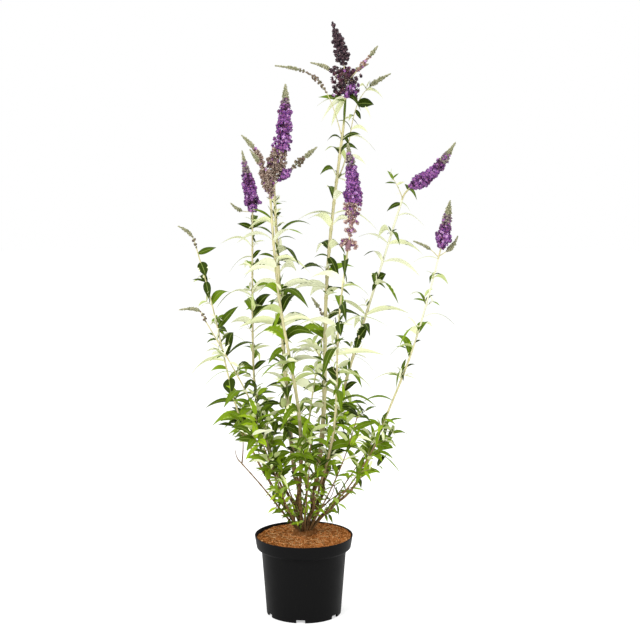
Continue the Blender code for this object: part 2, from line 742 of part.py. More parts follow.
def grow_cane(cane, seed, shaper, parts, looks):
    """A bough from the stool to the knee, the cane above it, and its head: each with its stem or None."""
    route = smooth_line((*from_stool(cane.foot), *cane.via, cane.tip))
    knee = route.at_height(cane.knee)
    foot, middle, top = cane.girths
    bough = limb("bough_" + cane.name, route.part(0, knee - GAP / 2, 6), foot, middle, 8, parts, looks["bark"])
    cut(bough, shaper)
    yield bough, None

    upper = route.part(knee + GAP / 2, route.length, max(6, round((route.length - knee) / 0.07)))
    made = limb("cane_" + cane.name, upper, middle, top, 6, parts, looks["cane"])
    leaves = Leaves(cane.spacing, CANE_LEAVES, cane.size, cane.turn, cane.seed)
    yield made, Stem(upper, CANE_BARE, (middle, top), leaves)

    spikes = HEADS[cane.name]
    main = head_line(cane.tip, route.direction(route.length), spikes[0])
    head = build_head("head_" + cane.name, main, spikes, seed, parts, looks["blossom"])
    stalk = spikes[0].runs[0][0] * main.length
    bracts = Leaves(BRACT_SPACING, BRACT_LEAVES, 1, cane.turn, cane.seed)
    bare = (BRACT_START, main.length - stalk)
    yield head, Stem(stalk_part(main), bare, STALK_GIRTHS, bracts) if stalk > BRACT_SPACING else None


def grow_shoot(shoot, shaper, parts, looks):
    line = smooth_line((*from_stool(shoot.foot), shoot.via, shoot.tip))
    line = line.part(0, line.length, 8)
    made = limb("shoot_" + shoot.name, line, *shoot.girths, 4, parts, looks["cane"])
    cut(made, shaper)
    leaves = Leaves(SHOOT_SPACING, SHOOT_LEAVES, 1, shoot.turn, shoot.seed)
    return made, Stem(line, SHOOT_BARE, shoot.girths, leaves)


def grow_side_shoot(trunk, parts, looks):
    name = "shoot_top_right"
    line = side_line(trunk.line, taper(trunk.line.at_height(SIDE_START) / trunk.line.length, *trunk.girths))
    stem = line.part(0, 0.98 * line.length, 12)
    made = limb(name, stem, *SIDE_GIRTHS, 6, parts, looks["cane"])
    pieces = new_collection(name + "_blossom")
    blossom_run(name + "_run", line, SIDE_BLOSSOM, SIDE_SEED, pieces, True)
    join_collection(made, pieces)
    bare = (SIDE_BARE, (1 - SIDE_BLOSSOM[0]) * line.length)
    leaves = Leaves(SHOOT_SPACING, SIDE_LEAVES, 1, SIDE_TURN, SIDE_SEED)
    return made, Stem(stem, bare, SIDE_GIRTHS, leaves)


def build():
    for old in list(bpy.data.objects):
        bpy.data.objects.remove(old)
    parts = new_collection("potted_butterfly_bush")
    cutters = new_collection("cutters")
    looks = {
        "pot": material("black_plastic", (0.012, 0.012, 0.013), 0.45),
        "compost": material("compost", (0.19, 0.085, 0.045), 0.95),
        "bark": material("bark", (0.13, 0.075, 0.04), 0.85),
        "cane": material("cane_and_leaves", (0.10, 0.20, 0.05), 0.6),
        "blossom": material("blossom", (0.14, 0.045, 0.30), 0.7),
    }
    build_pot(parts, cutters, looks["pot"])
    build_compost(parts, looks["compost"])
    stool = stool_shape("stool", 0.0, parts, looks["bark"])
    shaper = stool_shape("stool_shaper", GAP, new_collection("shapers"))

    grown = [(stool, None)]
    for index, cane in enumerate(CANES):
        grown += grow_cane(cane, 100 * (index + 1), shaper, parts, looks)
    for shoot in SHOOTS:
        grown.append(grow_shoot(shoot, shaper, parts, looks))
    trunk = next(stem for made, stem in grown if made.name == "cane_centre")
    grown.append(grow_side_shoot(trunk, parts, looks))
    bpy.data.objects.remove(shaper)

    foliage = Foliage({made.name: made.data.copy() for made, _ in grown})
    for made, stem in grown:
        if stem:
            dress(made, stem, foliage)


build()
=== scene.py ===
"""The looks of a potted butterfly bush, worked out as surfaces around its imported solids.

Metres, +Z up, the viewer at -Y. The origin is the middle of the pot's flat underside.
"""

import math
import random
from collections import namedtuple

import bpy
import numpy as np
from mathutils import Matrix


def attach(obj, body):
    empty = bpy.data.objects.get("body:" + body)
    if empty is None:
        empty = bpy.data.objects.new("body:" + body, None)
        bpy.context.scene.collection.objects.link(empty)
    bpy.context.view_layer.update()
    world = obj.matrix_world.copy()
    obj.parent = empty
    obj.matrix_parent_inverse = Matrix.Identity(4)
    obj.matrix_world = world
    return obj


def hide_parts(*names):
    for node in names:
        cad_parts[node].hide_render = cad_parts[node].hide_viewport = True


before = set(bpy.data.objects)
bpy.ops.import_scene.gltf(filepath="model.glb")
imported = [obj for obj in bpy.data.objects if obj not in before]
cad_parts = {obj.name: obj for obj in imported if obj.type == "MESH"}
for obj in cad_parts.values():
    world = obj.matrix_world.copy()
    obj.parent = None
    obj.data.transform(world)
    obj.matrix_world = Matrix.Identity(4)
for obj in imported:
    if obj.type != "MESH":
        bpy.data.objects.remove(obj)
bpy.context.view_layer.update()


# The pot is injection-moulded in black polypropylene: a thin tapering wall, a wide band under its
# lip, and a foot ring with six run-off notches round a channel that has six drain slots.
POT_HEIGHT = 0.188
POT_WALL = 0.0025
FOOT_RADIUS = 0.0876
NECK_RADIUS = 0.0994
NECK_HEIGHT = 0.154
BAND_RADIUS = 0.1106
BAND_HEIGHT = 0.160
STEP_RISE = 0.0016
RIM_RADIUS = 0.115
FOOT_RING = 0.0035
CHANNEL_INNER = 0.056
CHANNEL_DEPTH = 0.009
POT_FLOOR = CHANNEL_DEPTH + POT_WALL
NOTCH_COUNT = 6
NOTCH_WIDTH = 0.021
NOTCH_HEIGHT = 0.0078
NOTCH_TURN = math.radians(-94.5)
DRAIN_SIZE = (0.014, 0.005)
DRAIN_RADIUS = 0.071
DRAIN_EDGES = (DRAIN_RADIUS - DRAIN_SIZE[0] / 2, DRAIN_RADIUS + DRAIN_SIZE[0] / 2)
POT_BLACK = (0.0030, 0.0030, 0.0031)
POT_DUST = (0.009, 0.0085, 0.008)

# A notch's roof: distances round the foot from the notch's middle, and shares of its height there.
ARCH_PLACES = (0.0094, NOTCH_WIDTH / 2 - 0.0003, NOTCH_WIDTH / 2 - 0.00005, NOTCH_WIDTH / 2)
ARCH_SHARES = (1, 0.94, 0.80, 0)


class Signal:
    """A value in a finish. A sum, difference or product of it adds the Math node that works it out."""

    def __init__(self, finish, socket):
        self.finish = finish
        self.socket = socket

    def __add__(self, other):
        return self.finish.maths("ADD", self, other)

    def __rsub__(self, other):
        return self.finish.maths("SUBTRACT", other, self)

    def __mul__(self, other):
        return self.finish.maths("MULTIPLY", self, other)

    __radd__ = __add__
    __rmul__ = __mul__


class Finish:
    """A material: its Principled shader takes plain numbers and colours, or signals from its nodes."""

    def __init__(self, name, colour, roughness, **constants):
        self.material = bpy.data.materials.new(name)
        self.material.use_nodes = True
        self.tree = self.material.node_tree
        self.shader = self.tree.nodes["Principled BSDF"]
        self.feed(self.shader, "Base Color", colour)
        self.feed(self.shader, "Roughness", roughness)
        for socket, value in constants.items():
            self.feed(self.shader, socket.replace("_", " "), value)
        self.material.diffuse_color = (*colour, 1)

    def feed(self, node, socket, value):
        """Links a signal to a node's socket, or sets the socket to a number or a colour."""
        if isinstance(value, Signal):
            self.tree.links.new(value.socket, node.inputs[socket])
        elif isinstance(value, tuple) and len(node.inputs[socket].default_value) == 4:
            node.inputs[socket].default_value = (*value, 1)
        else:
            node.inputs[socket].default_value = value

    def node(self, kind, settings, sockets, out=0):
        """Adds a node with its settings and the values or links of its sockets, and returns one output."""
        made = self.tree.nodes.new("ShaderNode" + kind)
        for name, value in settings.items():
            setattr(made, name, value)
        for socket, value in sockets.items():
            self.feed(made, socket, value)
        return Signal(self, made.outputs[out])

    def maths(self, operation, first, second, clamp=False):
        """One sum, difference or product. clamp keeps it from 0 to 1."""
        return self.node("Math", {"operation": operation, "use_clamp": clamp}, {0: first, 1: second})

    def place(self, stretch=(1, 1, 1)):
        """The object's own coordinates, each axis scaled."""
        own = self.node("TexCoord", {}, {}, "Object")
        return self.node("Mapping", {}, {"Vector": own, "Scale": stretch})

    def axis(self, vector, name):
        """One axis of a vector, X, Y or Z."""
        return self.node("SeparateXYZ", {}, {0: vector}, name)

    def point_value(self, name):
        """A named value of the mesh's points."""
        return self.node("Attribute", {"attribute_name": name}, {}, "Fac")

    def noise(self, place, scale, detail=3.0, rough=0.55):
        """Cloudy noise from 0 to 1, with scale lumps a metre."""
        sockets = {"Vector": place, "Scale": scale, "Detail": detail, "Roughness": rough}
        return self.node("TexNoise", {}, sockets, "Fac")

    def step(self, value, low, high):
        """0 below low, 1 above high and smooth between."""
        sockets = {"Value": value, "From Min": low, "From Max": high}
        return self.node("MapRange", {"interpolation_type": "SMOOTHSTEP"}, sockets)

    def blend(self, share, first, second):
        """The first colour where share is 0, the second where it is 1."""
        return self.node("Mix", {"data_type": "RGBA"}, {0: share, 6: first, 7: second}, 2)

    def colour(self, colour):
        self.feed(self.shader, "Base Color", colour)

    def rough(self, value):
        self.feed(self.shader, "Roughness", value)

    def relief(self, height, depth):
        """Bumps as deep as depth, in metres, where height goes from 0 to 1."""
        sockets = {"Height": height, "Distance": depth, "Strength": 1.0}
        self.feed(self.shader, "Normal", self.node("Bump", {}, sockets))


def put(name, data):
    """Adds an object made of a mesh, a lamp or a camera to the scene."""
    made = bpy.data.objects.new(name, data)
    bpy.context.scene.collection.objects.link(made)
    return made


def strips(numbers):
    """Quads between neighbouring rings of point numbers, each ring closed round."""
    rows = np.concatenate([numbers, numbers[..., :1]], axis=-1)
    return np.stack([rows[..., :-1, :-1], rows[..., :-1, 1:], rows[..., 1:, 1:], rows[..., 1:, :-1]], axis=-1)


def fan(ring, pole, last):
    """Triangles from a ring to a pole: last for the pole past the last ring, else before the first."""
    after = np.roll(ring, -1, axis=-1)
    tip = np.broadcast_to(pole[..., None], ring.shape)
    return np.stack([ring, after, tip] if last else [after, ring, tip], axis=-1)


class Skin:
    """Gathers surfaces into one piece: points, faces, each face's finish, and named values of points."""

    def __init__(self):
        self.count = 0
        self.places = []
        self.faces = []
        self.finishes = []
        self.values = {}

    def points(self, places, **values):
        """Adds places in any grid and returns their numbers in the same grid."""
        shape = places.shape[:-1]
        numbers = self.count + np.arange(places.size // 3).reshape(shape)
        self.places.append(places.reshape(-1, 3))
        for name, value in values.items():
            self.values.setdefault(name, []).append(np.broadcast_to(value, shape).ravel())
        self.count += numbers.size
        return numbers

    def sides(self, faces, finish=0):
        """Adds faces, whose last axis lists point numbers. finish is a number, or spreads over the faces."""
        self.faces.append(faces.reshape(-1, faces.shape[-1]))
        self.finishes.append(np.broadcast_to(finish, faces.shape[:-1]).ravel())

    def cover(self, rings, poles, finish=0):
        """Adds the faces between closed rings, and from the first and last ring to their poles.

        Leading axes may hold many forms at once. finish is one number, or one for each form and side.
        """
        finish = np.asarray(finish)
        self.sides(strips(rings), finish[..., None, :] if finish.ndim else finish)
        self.sides(fan(rings[..., 0, :], poles[..., 0], False), finish)
        self.sides(fan(rings[..., -1, :], poles[..., 1], True), finish)

    def piece(self, name, finishes, slot, nodes, sharp=50):
        """Makes the piece, smooth but for edges sharper than an angle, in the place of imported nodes."""
        sizes = np.concatenate([np.full(len(rows), rows.shape[1]) for rows in self.faces])
        corners = np.concatenate([rows.ravel() for rows in self.faces])
        mesh = bpy.data.meshes.new(name)
        mesh.vertices.add(self.count)
        mesh.vertices.foreach_set("co", np.concatenate(self.places).astype(np.float32).ravel())
        mesh.loops.add(len(corners))
        mesh.loops.foreach_set("vertex_index", corners.astype(np.int32))
        mesh.polygons.add(len(sizes))
        mesh.polygons.foreach_set("loop_start", (np.cumsum(sizes) - sizes).astype(np.int32))
        mesh.polygons.foreach_set("material_index", np.concatenate(self.finishes).astype(np.int32))
        for key, value in self.values.items():
            layer = mesh.attributes.new(key, "FLOAT", "POINT")
            layer.data.foreach_set("value", np.concatenate(value).astype(np.float32))
        mesh.update(calc_edges=True)
        mesh.shade_smooth()
        mesh.set_sharp_from_angle(angle=math.radians(sharp))
        for finish in finishes:
            mesh.materials.append(finish.material)
        made = put(name, mesh)
        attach(made, "root")
        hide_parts(*nodes)


def pot_profile():
    """The pot's section as rows of radius, height and whether a notch lifts it.

    It goes from under the pot's middle out and up the outside, over the lip, down and in over the floor.
    """
    ring_inner = FOOT_RADIUS - FOOT_RING
    slot_inner, slot_outer = DRAIN_EDGES
    inner = CHANNEL_INNER - POT_WALL
    neck_in = NECK_HEIGHT + STEP_RISE
    wall_in = FOOT_RADIUS - POT_WALL + (NECK_RADIUS - FOOT_RADIUS) * POT_FLOOR / NECK_HEIGHT
    return np.array([
        (0.020, 0.0, 0), (0.040, 0.0, 0), (CHANNEL_INNER - 0.0012, 0.0, 0), (CHANNEL_INNER - 0.0005, 0.0006, 0),
        (CHANNEL_INNER, CHANNEL_DEPTH, 0), (slot_inner, CHANNEL_DEPTH, 0), (slot_outer, CHANNEL_DEPTH, 0),
        (ring_inner, CHANNEL_DEPTH, 0), (ring_inner, 0.0006, 1), (ring_inner + 0.0006, 0.0, 1),
        (FOOT_RADIUS - 0.0008, 0.0, 1), (FOOT_RADIUS, 0.0008, 1), (FOOT_RADIUS + 0.0008, 0.011, 0),
        (FOOT_RADIUS + 0.0030, 0.040, 0), (FOOT_RADIUS + 0.0062, 0.081, 0), (FOOT_RADIUS + 0.0092, 0.120, 0),
        (NECK_RADIUS - 0.0002, 0.1505, 0), (NECK_RADIUS + 0.0002, 0.1530, 0), (NECK_RADIUS + 0.0014, 0.1547, 0),
        (NECK_RADIUS + 0.0040, 0.1560, 0), (BAND_RADIUS - 0.0030, 0.1574, 0), (BAND_RADIUS - 0.0012, 0.1584, 0),
        (BAND_RADIUS - 0.0002, 0.1597, 0), (BAND_RADIUS + 0.0003, 0.1620, 0), (BAND_RADIUS + 0.0018, 0.1710, 0),
        (RIM_RADIUS - 0.0012, 0.1800, 0), (RIM_RADIUS - 0.0002, 0.1862, 0), (RIM_RADIUS, 0.1871, 0),
        (RIM_RADIUS - 0.0004, 0.1878, 0), (RIM_RADIUS - 0.0012, POT_HEIGHT, 0),
        (RIM_RADIUS - 0.0020, 0.1877, 0), (RIM_RADIUS - POT_WALL, 0.1869, 0),
        (BAND_RADIUS - POT_WALL + 0.0014, 0.170, 0),
        (BAND_RADIUS - POT_WALL, BAND_HEIGHT + STEP_RISE, 0), (NECK_RADIUS - POT_WALL, neck_in, 0),
        (wall_in, POT_FLOOR, 0), (slot_outer, POT_FLOOR, 0), (slot_inner, POT_FLOOR, 0),
        (inner, POT_FLOOR, 0), (inner, POT_WALL, 0), (0.020, POT_WALL, 0),
    ])


def pot_turns():
    """The angles of the pot's columns: close together at each notch's sides and at each slot's.

    Also how many there are in one of the notches' sectors, and how many of those before its middle.
    """
    half_slot = math.asin(0.5 * DRAIN_SIZE[1] / DRAIN_RADIUS) * FOOT_RADIUS
    side = np.array([half_slot, 0.0062, *ARCH_PLACES])
    arcs = np.concatenate([-side[::-1], [0], side]) / FOOT_RADIUS
    sector = math.tau / NOTCH_COUNT
    rest = np.linspace(arcs[-1], sector + arcs[0], 24)[1:-1]
    one = np.concatenate([arcs, rest])
    return (one[None, :] + sector * np.arange(NOTCH_COUNT)[:, None]).ravel(), len(one), len(side)


def make_pot():
    """The section turned about the axis. Where a notch passes, the foot's rows rise to its roof.

    Each drain slot leaves out the quads over it in channel and floor, and gets walls between the two.
    """
    profile = pot_profile()
    turns, per_sector, middle = pot_turns()
    sector = math.tau / NOTCH_COUNT
    arc = np.abs((turns + 0.5 * sector) % sector - 0.5 * sector)
    arch = np.interp(arc * FOOT_RADIUS, ARCH_PLACES, ARCH_SHARES)
    radius, height, lifted = profile[:, 0:1], profile[:, 1:2], profile[:, 2:3]
    lift = lifted * arch * (NOTCH_HEIGHT - height)
    radius = radius + lift * (NECK_RADIUS - FOOT_RADIUS) / NECK_HEIGHT * (radius > FOOT_RADIUS - 0.001)
    around = turns + NOTCH_TURN
    places = np.stack([radius * np.cos(around), radius * np.sin(around), height + lift], axis=-1)
    pot = Skin()
    numbers = pot.points(places)
    poles = pot.points(np.array([(0, 0, 0), (0, 0, POT_WALL)]))
    quads = strips(numbers)
    open_rows = [row for row in range(len(profile) - 1) if set(profile[row:row + 2, 0]) == set(DRAIN_EDGES)]
    whole = np.ones(quads.shape[:2], bool)
    for notch in range(NOTCH_COUNT):
        first = notch * per_sector + middle - 1
        last = first + 2
        whole[np.ix_(open_rows, range(first, last))] = False
        lower, upper = open_rows
        under = np.concatenate([numbers[lower, first:last + 1], numbers[lower + 1, first:last + 1][::-1]])
        over = np.concatenate([numbers[upper + 1, first:last + 1], numbers[upper, first:last + 1][::-1]])
        pot.sides(np.stack([under, over, np.roll(over, -1), np.roll(under, -1)], axis=-1))
    pot.sides(quads[whole])
    pot.sides(fan(numbers[0], poles[0], False))
    pot.sides(fan(numbers[-1], poles[1], True))
    return pot


plastic = Finish("black_polypropylene", POT_BLACK, 0.45, Specular_IOR_Level=0.055)
own = plastic.place()
scuffs = plastic.step(plastic.noise(plastic.place((1, 1, 0.12)), 420, 4), 0.62, 0.78)
haze = plastic.noise(own, 26, 4)
splash = plastic.step(plastic.noise(own, 120, 5, 0.7), 0.52, 0.80)
low = 1 - plastic.step(plastic.axis(own, "Z"), 0.0, 0.05)
dusty = plastic.maths("ADD", 0.10 * scuffs + 0.05 * haze, 0.20 * splash * low, True)
plastic.colour(plastic.blend(dusty, POT_BLACK, POT_DUST))
plastic.rough(0.42 + 0.16 * haze + 0.12 * scuffs)
plastic.relief(plastic.noise(own, 1500, 2), 0.00006)
make_pot().piece("nursery_pot", [plastic], "pot_plastic", ["pot"], 34)


# The compost is composted bark and coir, filled nearly to the lip and shaken level: reddish-brown
# crumbs with chips of bark and a few pale fibres lying on it, a little higher at the back right.
COMPOST_LEVEL = 0.1837
COMPOST_EDGE = 0.1805
COMPOST_CROWN = 0.1865
STOOL_HEAP = 0.0105
SEAT_RADIUS = 0.036
COMPOST_FOOT = 0.020
COMPOST_SIDES = 180
COMPOST_RINGS = 64
COMPOST_CRUMB = (0.275, 0.096, 0.026)
COMPOST_PALE = (0.500, 0.225, 0.082)
COMPOST_DARK = (0.100, 0.034, 0.006)
FIBRE_COLOUR = (0.58, 0.38, 0.18)
FIBRE_COUNT = 260
FIBRE_LENGTHS = (0.006, 0.017)
FIBRE_RADII = (0.00014, 0.00030)

# The chips' colours, what share of them has each, and their least and greatest length, breadth and
# thickness. Half of those to the left take the dark colour as painted shade.
CHIP_COUNT = 1500
CHIP_COLOURS = ((0.420, 0.160, 0.050), (0.255, 0.088, 0.023), (0.110, 0.040, 0.010), (0.570, 0.310, 0.130))
CHIP_SHARES = (0.36, 0.34, 0.18, 0.12)
CHIP_SIZES = ((0.0022, 0.0012, 0.0006), (0.0085, 0.0036, 0.0016))
PAINTED_SHADE_CHIP = 2

# The clear space that packed neighbours leave between them.
GAP = 0.0003


def pot_inside(height):
    """The pot's inside radius at a height."""
    heights = (0.0, NECK_HEIGHT + STEP_RISE, BAND_HEIGHT + STEP_RISE, POT_HEIGHT)
    return np.interp(height, heights, (FOOT_RADIUS, NECK_RADIUS, BAND_RADIUS, RIM_RADIUS)) - POT_WALL


def lumps(places, grain, seed, waves=28):
    """A smooth random height of about -1 to 1: sines across the places in seeded directions.

    grain is the distance in metres from one crest to the next.
    """
    rng = np.random.default_rng(seed)
    ways = rng.normal(size=(waves, 3))
    ways /= np.linalg.norm(ways, axis=1)[:, None] * rng.uniform(0.7, 1.5, waves)[:, None]
    phases = rng.uniform(0, math.tau, waves)
    return np.sin(places @ ways.T * (math.tau / grain) + phases).sum(axis=-1) / math.sqrt(waves)


def compost_level(across, deep):
    """The height of the compost at a place: its flat seat, ring and edge, a tilt, and two sizes of crumb.

    A bell, STOOL_HEAP exp(-(radius / 0.040)^2), heaps it up round the foot of the bush.
    """
    radius = np.hypot(across, deep)
    edge = pot_inside(COMPOST_EDGE)
    rings = (0, SEAT_RADIUS, SEAT_RADIUS + 0.012, 0.5 * (SEAT_RADIUS + BAND_RADIUS), edge - 0.010, edge)
    heights = (COMPOST_LEVEL, COMPOST_LEVEL, COMPOST_LEVEL + 0.0015,
               COMPOST_CROWN, COMPOST_EDGE + 0.0045, COMPOST_EDGE + 0.0015)
    tilt = 0.0034 * (0.82 * across + 0.57 * deep) / edge
    tilt -= 0.0012 * (radius / edge) ** 2 * (across < 0) * (deep > 0)
    flat = np.stack([across, deep, np.zeros_like(across)], axis=-1)
    crumbs = 0.0011 * lumps(flat, 0.016, 3) + 0.00055 * lumps(flat, 0.0045, 4)
    away = np.clip((radius - 0.020) / 0.020, 0.35, 1)
    heap = STOOL_HEAP * np.exp(-(radius / 0.040) ** 2)
    return np.interp(radius, rings, heights) + tilt + heap + crumbs * away


def make_compost():
    """The level over rings and turns, with a wall down inside the pot and a flat bottom."""
    turns = np.linspace(0, math.tau, COMPOST_SIDES, endpoint=False)
    rings = np.linspace(0.002, pot_inside(COMPOST_EDGE) - GAP, COMPOST_RINGS)[:, None]
    top = np.stack(np.broadcast_arrays(rings * np.cos(turns), rings * np.sin(turns), 0.0), axis=-1)
    top[..., 2] = compost_level(top[..., 0], top[..., 1])
    heights = np.array((COMPOST_FOOT, NECK_HEIGHT + STEP_RISE))[:, None]
    radii = pot_inside(heights) - GAP
    wall = np.stack(np.broadcast_arrays(radii * np.cos(turns), radii * np.sin(turns), heights), axis=-1)
    compost = Skin()
    numbers = compost.points(np.concatenate([wall, top[::-1]]))
    poles = compost.points(np.array([(0, 0, COMPOST_FOOT), (0, 0, COMPOST_LEVEL)]))
    compost.cover(numbers, poles)
    return compost


def unit(ways):
    """Each way scaled to a length of 1."""
    return ways / np.linalg.norm(ways, axis=-1, keepdims=True)


def turned_axes(rng, count, tilt):
    """Random right-handed axes, one row each for length, breadth and thickness, that tilt a little."""
    yaw = rng.uniform(0, math.tau, count)
    length = unit(np.stack([np.cos(yaw), np.sin(yaw), rng.normal(0, tilt, count)], axis=-1))
    up = np.stack([rng.normal(0, tilt, count), rng.normal(0, tilt, count), np.ones(count)], axis=-1)
    breadth = unit(np.cross(up, length))
    return np.stack([length, breadth, np.cross(length, breadth)], axis=1)


def strewn(rng, count, reach):
    """Seeded places on the compost within a radius."""
    around = rng.uniform(0, math.tau, count)
    radius = reach * np.sqrt(rng.uniform(0.04, 1, count))
    across, deep = radius * np.cos(around), radius * np.sin(around)
    return np.stack([across, deep, compost_level(across, deep)], axis=-1)


def make_chips():
    """Bark chips: six-sided blocks with uneven corners, longer than broad, lying nearly flat."""
    rng = np.random.default_rng(21)
    places = strewn(rng, CHIP_COUNT, pot_inside(COMPOST_EDGE) - 0.006)
    size = rng.uniform(*CHIP_SIZES, (CHIP_COUNT, 3)) * rng.uniform(0.5, 1, (CHIP_COUNT, 1))
    ring = np.array([(-0.5, -0.3), (-0.1, -0.5), (0.45, -0.35), (0.5, 0.25), (0.05, 0.5), (-0.42, 0.35)])
    block = np.array([[(x * s, y * s, z) for x, y in ring] for z, s in ((-0.5, 0.8), (0.15, 1.0), (0.5, 0.66))])
    uneven = block + rng.uniform(-0.12, 0.12, (CHIP_COUNT, *block.shape))
    corners = (uneven * size[:, None, None, :]) @ turned_axes(rng, CHIP_COUNT, 0.35)[:, None]
    corners += (places + (0, 0, 0.0004))[:, None, None, :]
    chips = Skin()
    numbers = chips.points(corners)
    ends = chips.points(corners[:, (0, -1)].mean(axis=2))
    finish = rng.choice(len(CHIP_SHARES), CHIP_COUNT, p=CHIP_SHARES)
    # Painted shade: about half the chips on the left side take the dark colour.
    darkened = (places[:, 0] < rng.uniform(-0.12, 0.05, CHIP_COUNT)) & (rng.random(CHIP_COUNT) < 0.5)
    chips.cover(numbers, ends, np.where(darkened, PAINTED_SHADE_CHIP, finish)[:, None])
    return chips


def across_axes(heading):
    """Two unit directions square to each heading: the first as near +X as can be, then heading x first."""
    right = unit(np.array((1.0, 0.0, 0.0)) - heading * heading[..., :1])
    return right, np.cross(heading, right)


def spokes(centres, sides):
    """Unit directions out from each point of a line to the sides of a ring: cos a . right + sin a . deep."""
    right, deep = across_axes(unit(np.gradient(centres, axis=-2)))
    around = np.arange(sides) * math.tau / sides
    return right[..., None, :] * np.cos(around)[:, None] + deep[..., None, :] * np.sin(around)[:, None]


def grow_tube(skin, centres, radii, sides, finish=0, **values):
    """Tubes about lines of points, closed at both ends: each ring is centre + radius . spoke.

    centres may hold many lines at once, on a leading axis. radii has one for each point, or one for
    each point and side, and values have one for each point.
    """
    radii = radii[..., None] if radii.ndim < centres.ndim else radii
    rings = centres[..., None, :] + spokes(centres, sides) * radii[..., None]
    numbers = skin.points(rings, **{name: value[..., None] for name, value in values.items()})
    last_values = {name: value[..., (0, -1)] for name, value in values.items()}
    skin.cover(numbers, skin.points(centres[..., (0, -1), :], **last_values), finish)


def lay_fibres(skin, finish):
    """Coir fibres: thin bent strands, start + way . t + bend . sin(pi t), laid on the crumbs."""
    rng = np.random.default_rng(22)
    start = strewn(rng, FIBRE_COUNT, pot_inside(COMPOST_EDGE) - 0.022)
    axes = turned_axes(rng, FIBRE_COUNT, 0.10)
    length = rng.uniform(*FIBRE_LENGTHS, (FIBRE_COUNT, 1, 1))
    t = np.linspace(0, 1, 6)[None, :, None]
    bend = axes[:, 1:2] * rng.uniform(-0.3, 0.3, (FIBRE_COUNT, 1, 1)) + axes[:, 2:3] * 0.10
    line = start[:, None] + length * (axes[:, 0:1] * t + bend * np.sin(math.pi * t))
    line[..., 2] = np.maximum(line[..., 2], compost_level(line[..., 0], line[..., 1]) + 0.0002)
    radii = rng.uniform(*FIBRE_RADII, (FIBRE_COUNT, 1)) * np.array([0.6, 1, 1, 1, 0.9, 0.5])
    grow_tube(skin, line, radii, 4, finish)


def finishes(name, colours, roughness, shine):
    """Plain finishes, numbered from 0, one for each colour."""
    return [Finish(f"{name}_{number}", colour, roughness, Specular_IOR_Level=shine)
            for number, colour in enumerate(colours)]


crumb = Finish("bark_compost", COMPOST_CRUMB, 0.95, Specular_IOR_Level=0)
own = crumb.place()
grains = crumb.node("TexVoronoi", {}, {"Vector": own, "Scale": 330.0}, "Color")
grain = crumb.axis(grains, "X")
# Damp patches, darker, at random over the compost.
darkened = crumb.step(crumb.noise(own, 38, 4), 0.42, 0.66)
tone = crumb.blend(crumb.step(grain, 0.55, 1.0), COMPOST_CRUMB, COMPOST_PALE)
tone = crumb.blend(1 - crumb.step(grain, 0.02, 0.30), tone, COMPOST_DARK)
# Painted shade: the compost darkens towards the pot's left side.
left = 1 - crumb.step(crumb.axis(own, "X"), -0.09, 0.05)
crumb.colour(crumb.blend(0.40 * darkened + 0.22 * left, tone, COMPOST_DARK))
crumb.relief(crumb.noise(own, 520, 4, 0.7) + 0.5 * grain, 0.0012)
make_compost().piece("bark_compost", [crumb], "compost", ["compost"], 180)

chip_finishes = finishes("bark_chip", CHIP_COLOURS, 0.9, 0)
chip_finishes.append(Finish("coir_fibre", FIBRE_COLOUR, 0.85, Specular_IOR_Level=0))
chips = make_chips()
lay_fibres(chips, len(CHIP_COLOURS))
chips.piece("bark_chips", chip_finishes, "compost", ["compost"], 30)


# The wood is the old foot of the bush: a knobbly stool that every stem springs from, and the ten
# boughs up to where they turn to pale cane. Its bark is brown, stringy and lightly furrowed.
STOOL_CENTRE = (0.003, 0.0)
STOOL_RADII = (0.029, 0.027, 0.021)
STOOL_MIDDLE = 0.189
STOOL_RINGS = 56
STOOL_SIDES = 150
HEART_HEIGHT = 0.196
FOOT_HEIGHT = 0.214
BARK_BROWN = (0.135, 0.078, 0.032)
BARK_TAN = (0.27, 0.170, 0.085)
BARK_FURROW = (0.032, 0.018, 0.007)
CLINGING_SOIL = (0.150, 0.062, 0.022)
STOOL_AGE = 1.5
FURROWS = 9
FURROW_DEPTH = 0.00034
BOUGH_SIDES = 30
BOUGH_STEP = 0.0022
BOUGH_FULLNESS = 0.86
BOUGH_WANDER = 0.0042
FOOT_FLARE = 0.40
SCAR_HEIGHT = 0.0007

